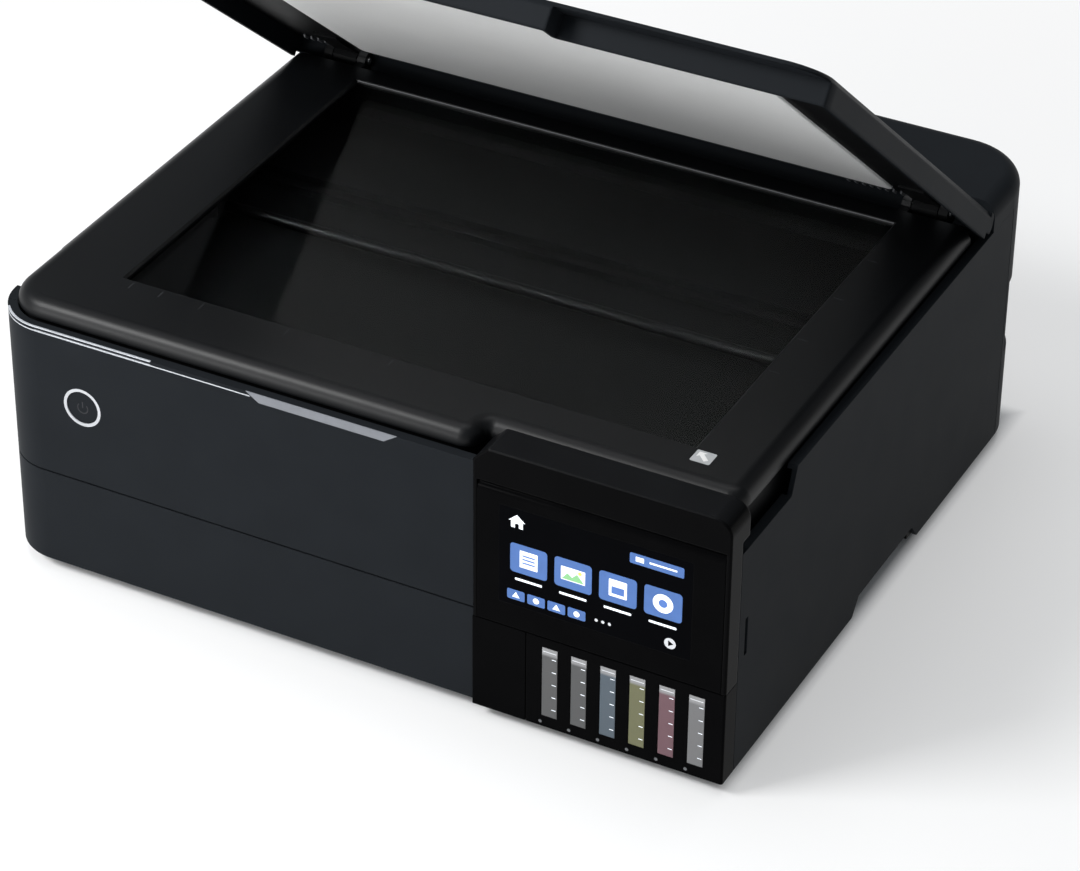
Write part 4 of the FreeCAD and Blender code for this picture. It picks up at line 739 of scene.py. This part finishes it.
CAMERA_LENS, CAMERA_SENSOR = 132.898, 36.0
CAMERA_SHIFT = (0.02968, -0.00917)


def seen_white(tree, mirrored=None):
    """1 for rays that see the white of the backdrop: from the camera, or mirrored or passed on to it.

    mirrored is a socket that scales it for the last two kinds."""
    path = tree.nodes.new("ShaderNodeLightPath")
    onward = combine(tree, "MAXIMUM", path.outputs["Is Glossy Ray"], path.outputs["Is Transmission Ray"])
    if mirrored:
        onward = combine(tree, "MULTIPLY", onward, mirrored)
    return combine(tree, "MAXIMUM", path.outputs["Is Camera Ray"], onward)


def mix_shaders(tree, share, first, second, output):
    both = tree.nodes.new("ShaderNodeMixShader")
    tree.links.new(share, both.inputs["Fac"])
    tree.links.new(first, both.inputs[1])
    tree.links.new(second, both.inputs[2])
    tree.links.new(both.outputs["Shader"], tree.nodes[output].inputs["Surface"])


def past_side(tree, coord, name, half):
    """0 under the part and 1 past the edge of its footprint, along one axis."""
    size = tree.nodes.new("ShaderNodeMath")
    size.operation = "ABSOLUTE"
    tree.links.new(axis(tree, coord.outputs["Object"], name), size.inputs[0])
    return map_range(tree, size.outputs["Value"], (half - CONTACT_INSET, half + CONTACT_REACH), (0, 1))


def floor():
    mesh = bpy.data.meshes.new("floor")
    half = FLOOR_HALF
    corners = [(-half, -half, 0), (half, -half, 0), (half, half, 0), (-half, half, 0)]
    mesh.from_pydata(corners, [], [(0, 1, 2, 3)])
    obj = bpy.data.objects.new("floor", mesh)
    bpy.context.scene.collection.objects.link(obj)
    mat, tree, shader, coord = new_material("floor_look")
    paint = clouded(tree, noise(tree, coord, FLOOR_CLOUD), FLOOR_COLOUR, FLOOR_VARY)
    tree.links.new(paint, shader.inputs["Base Color"])
    shader.inputs["Roughness"].default_value = FLOOR_ROUGH
    shader.inputs["Specular IOR Level"].default_value = FLOOR_SPECULAR
    away = tree.nodes.new("ShaderNodeVectorMath")
    away.operation = "LENGTH"
    tree.links.new(coord.outputs["Object"], away.inputs[0])
    glow = map_range(tree, away.outputs["Value"], FLOOR_REACH, FLOOR_GLOW)
    beside = past_side(tree, coord, "X", CAD_BOX[1][0])
    ahead = past_side(tree, coord, "Y", CAD_BOX[1][1])
    glow = combine(tree, "MULTIPLY", glow, combine(tree, "MAXIMUM", beside, ahead))
    white = tree.nodes.new("ShaderNodeEmission")
    white.inputs["Color"].default_value = WHITE
    share = combine(tree, "MULTIPLY", seen_white(tree), glow)
    mix_shaders(tree, share, shader.outputs["BSDF"], white.outputs["Emission"], "Material Output")
    mesh.materials.append(mat)


def area_light(name, place, target, size, power):
    data = bpy.data.lights.new(name, "AREA")
    data.shape = "RECTANGLE"
    data.size, data.size_y = size
    data.energy = power
    obj = bpy.data.objects.new(name, data)
    obj.location = place
    obj.rotation_euler = (Vector(target) - Vector(place)).to_track_quat("-Z", "Y").to_euler()
    bpy.context.scene.collection.objects.link(obj)


def world():
    scene = bpy.context.scene
    scene.world = bpy.data.worlds.new("studio")
    scene.world.use_nodes = True
    tree = scene.world.node_tree
    sky = tree.nodes["Background"]
    sky.inputs["Color"].default_value = SKY_COLOUR
    white = tree.nodes.new("ShaderNodeBackground")
    white.inputs["Color"].default_value = WHITE
    coord = tree.nodes.new("ShaderNodeTexCoord")
    towards = tree.nodes.new("ShaderNodeVectorMath")
    towards.operation = "DOT_PRODUCT"
    towards.inputs[1].default_value = SKY_BRIGHT_SIDE
    tree.links.new(coord.outputs["Generated"], towards.inputs[0])
    side = map_range(tree, towards.outputs["Value"], (-1, 1), SKY_STRENGTH)
    tree.links.new(side, sky.inputs["Strength"])
    backdrop = map_range(tree, axis(tree, coord.outputs["Generated"], "Z"), BACKDROP_TOP, (1, 0))
    mix_shaders(tree, seen_white(tree, backdrop), sky.outputs["Background"], white.outputs["Background"],
                "World Output")
    scene.view_settings.view_transform = "Standard"


def camera():
    data = bpy.data.cameras.new("camera")
    data.sensor_fit = "HORIZONTAL"
    data.sensor_width = CAMERA_SENSOR
    data.lens = CAMERA_LENS
    data.shift_x, data.shift_y = CAMERA_SHIFT
    obj = bpy.data.objects.new("camera", data)
    obj.location = CAMERA_PLACE
    obj.rotation_euler = [math.radians(a) for a in CAMERA_TURN]
    bpy.context.scene.collection.objects.link(obj)
    bpy.context.scene.camera = obj


floor()
for name, lamp in LAMPS.items():
    area_light(name, **lamp)
world()
camera()
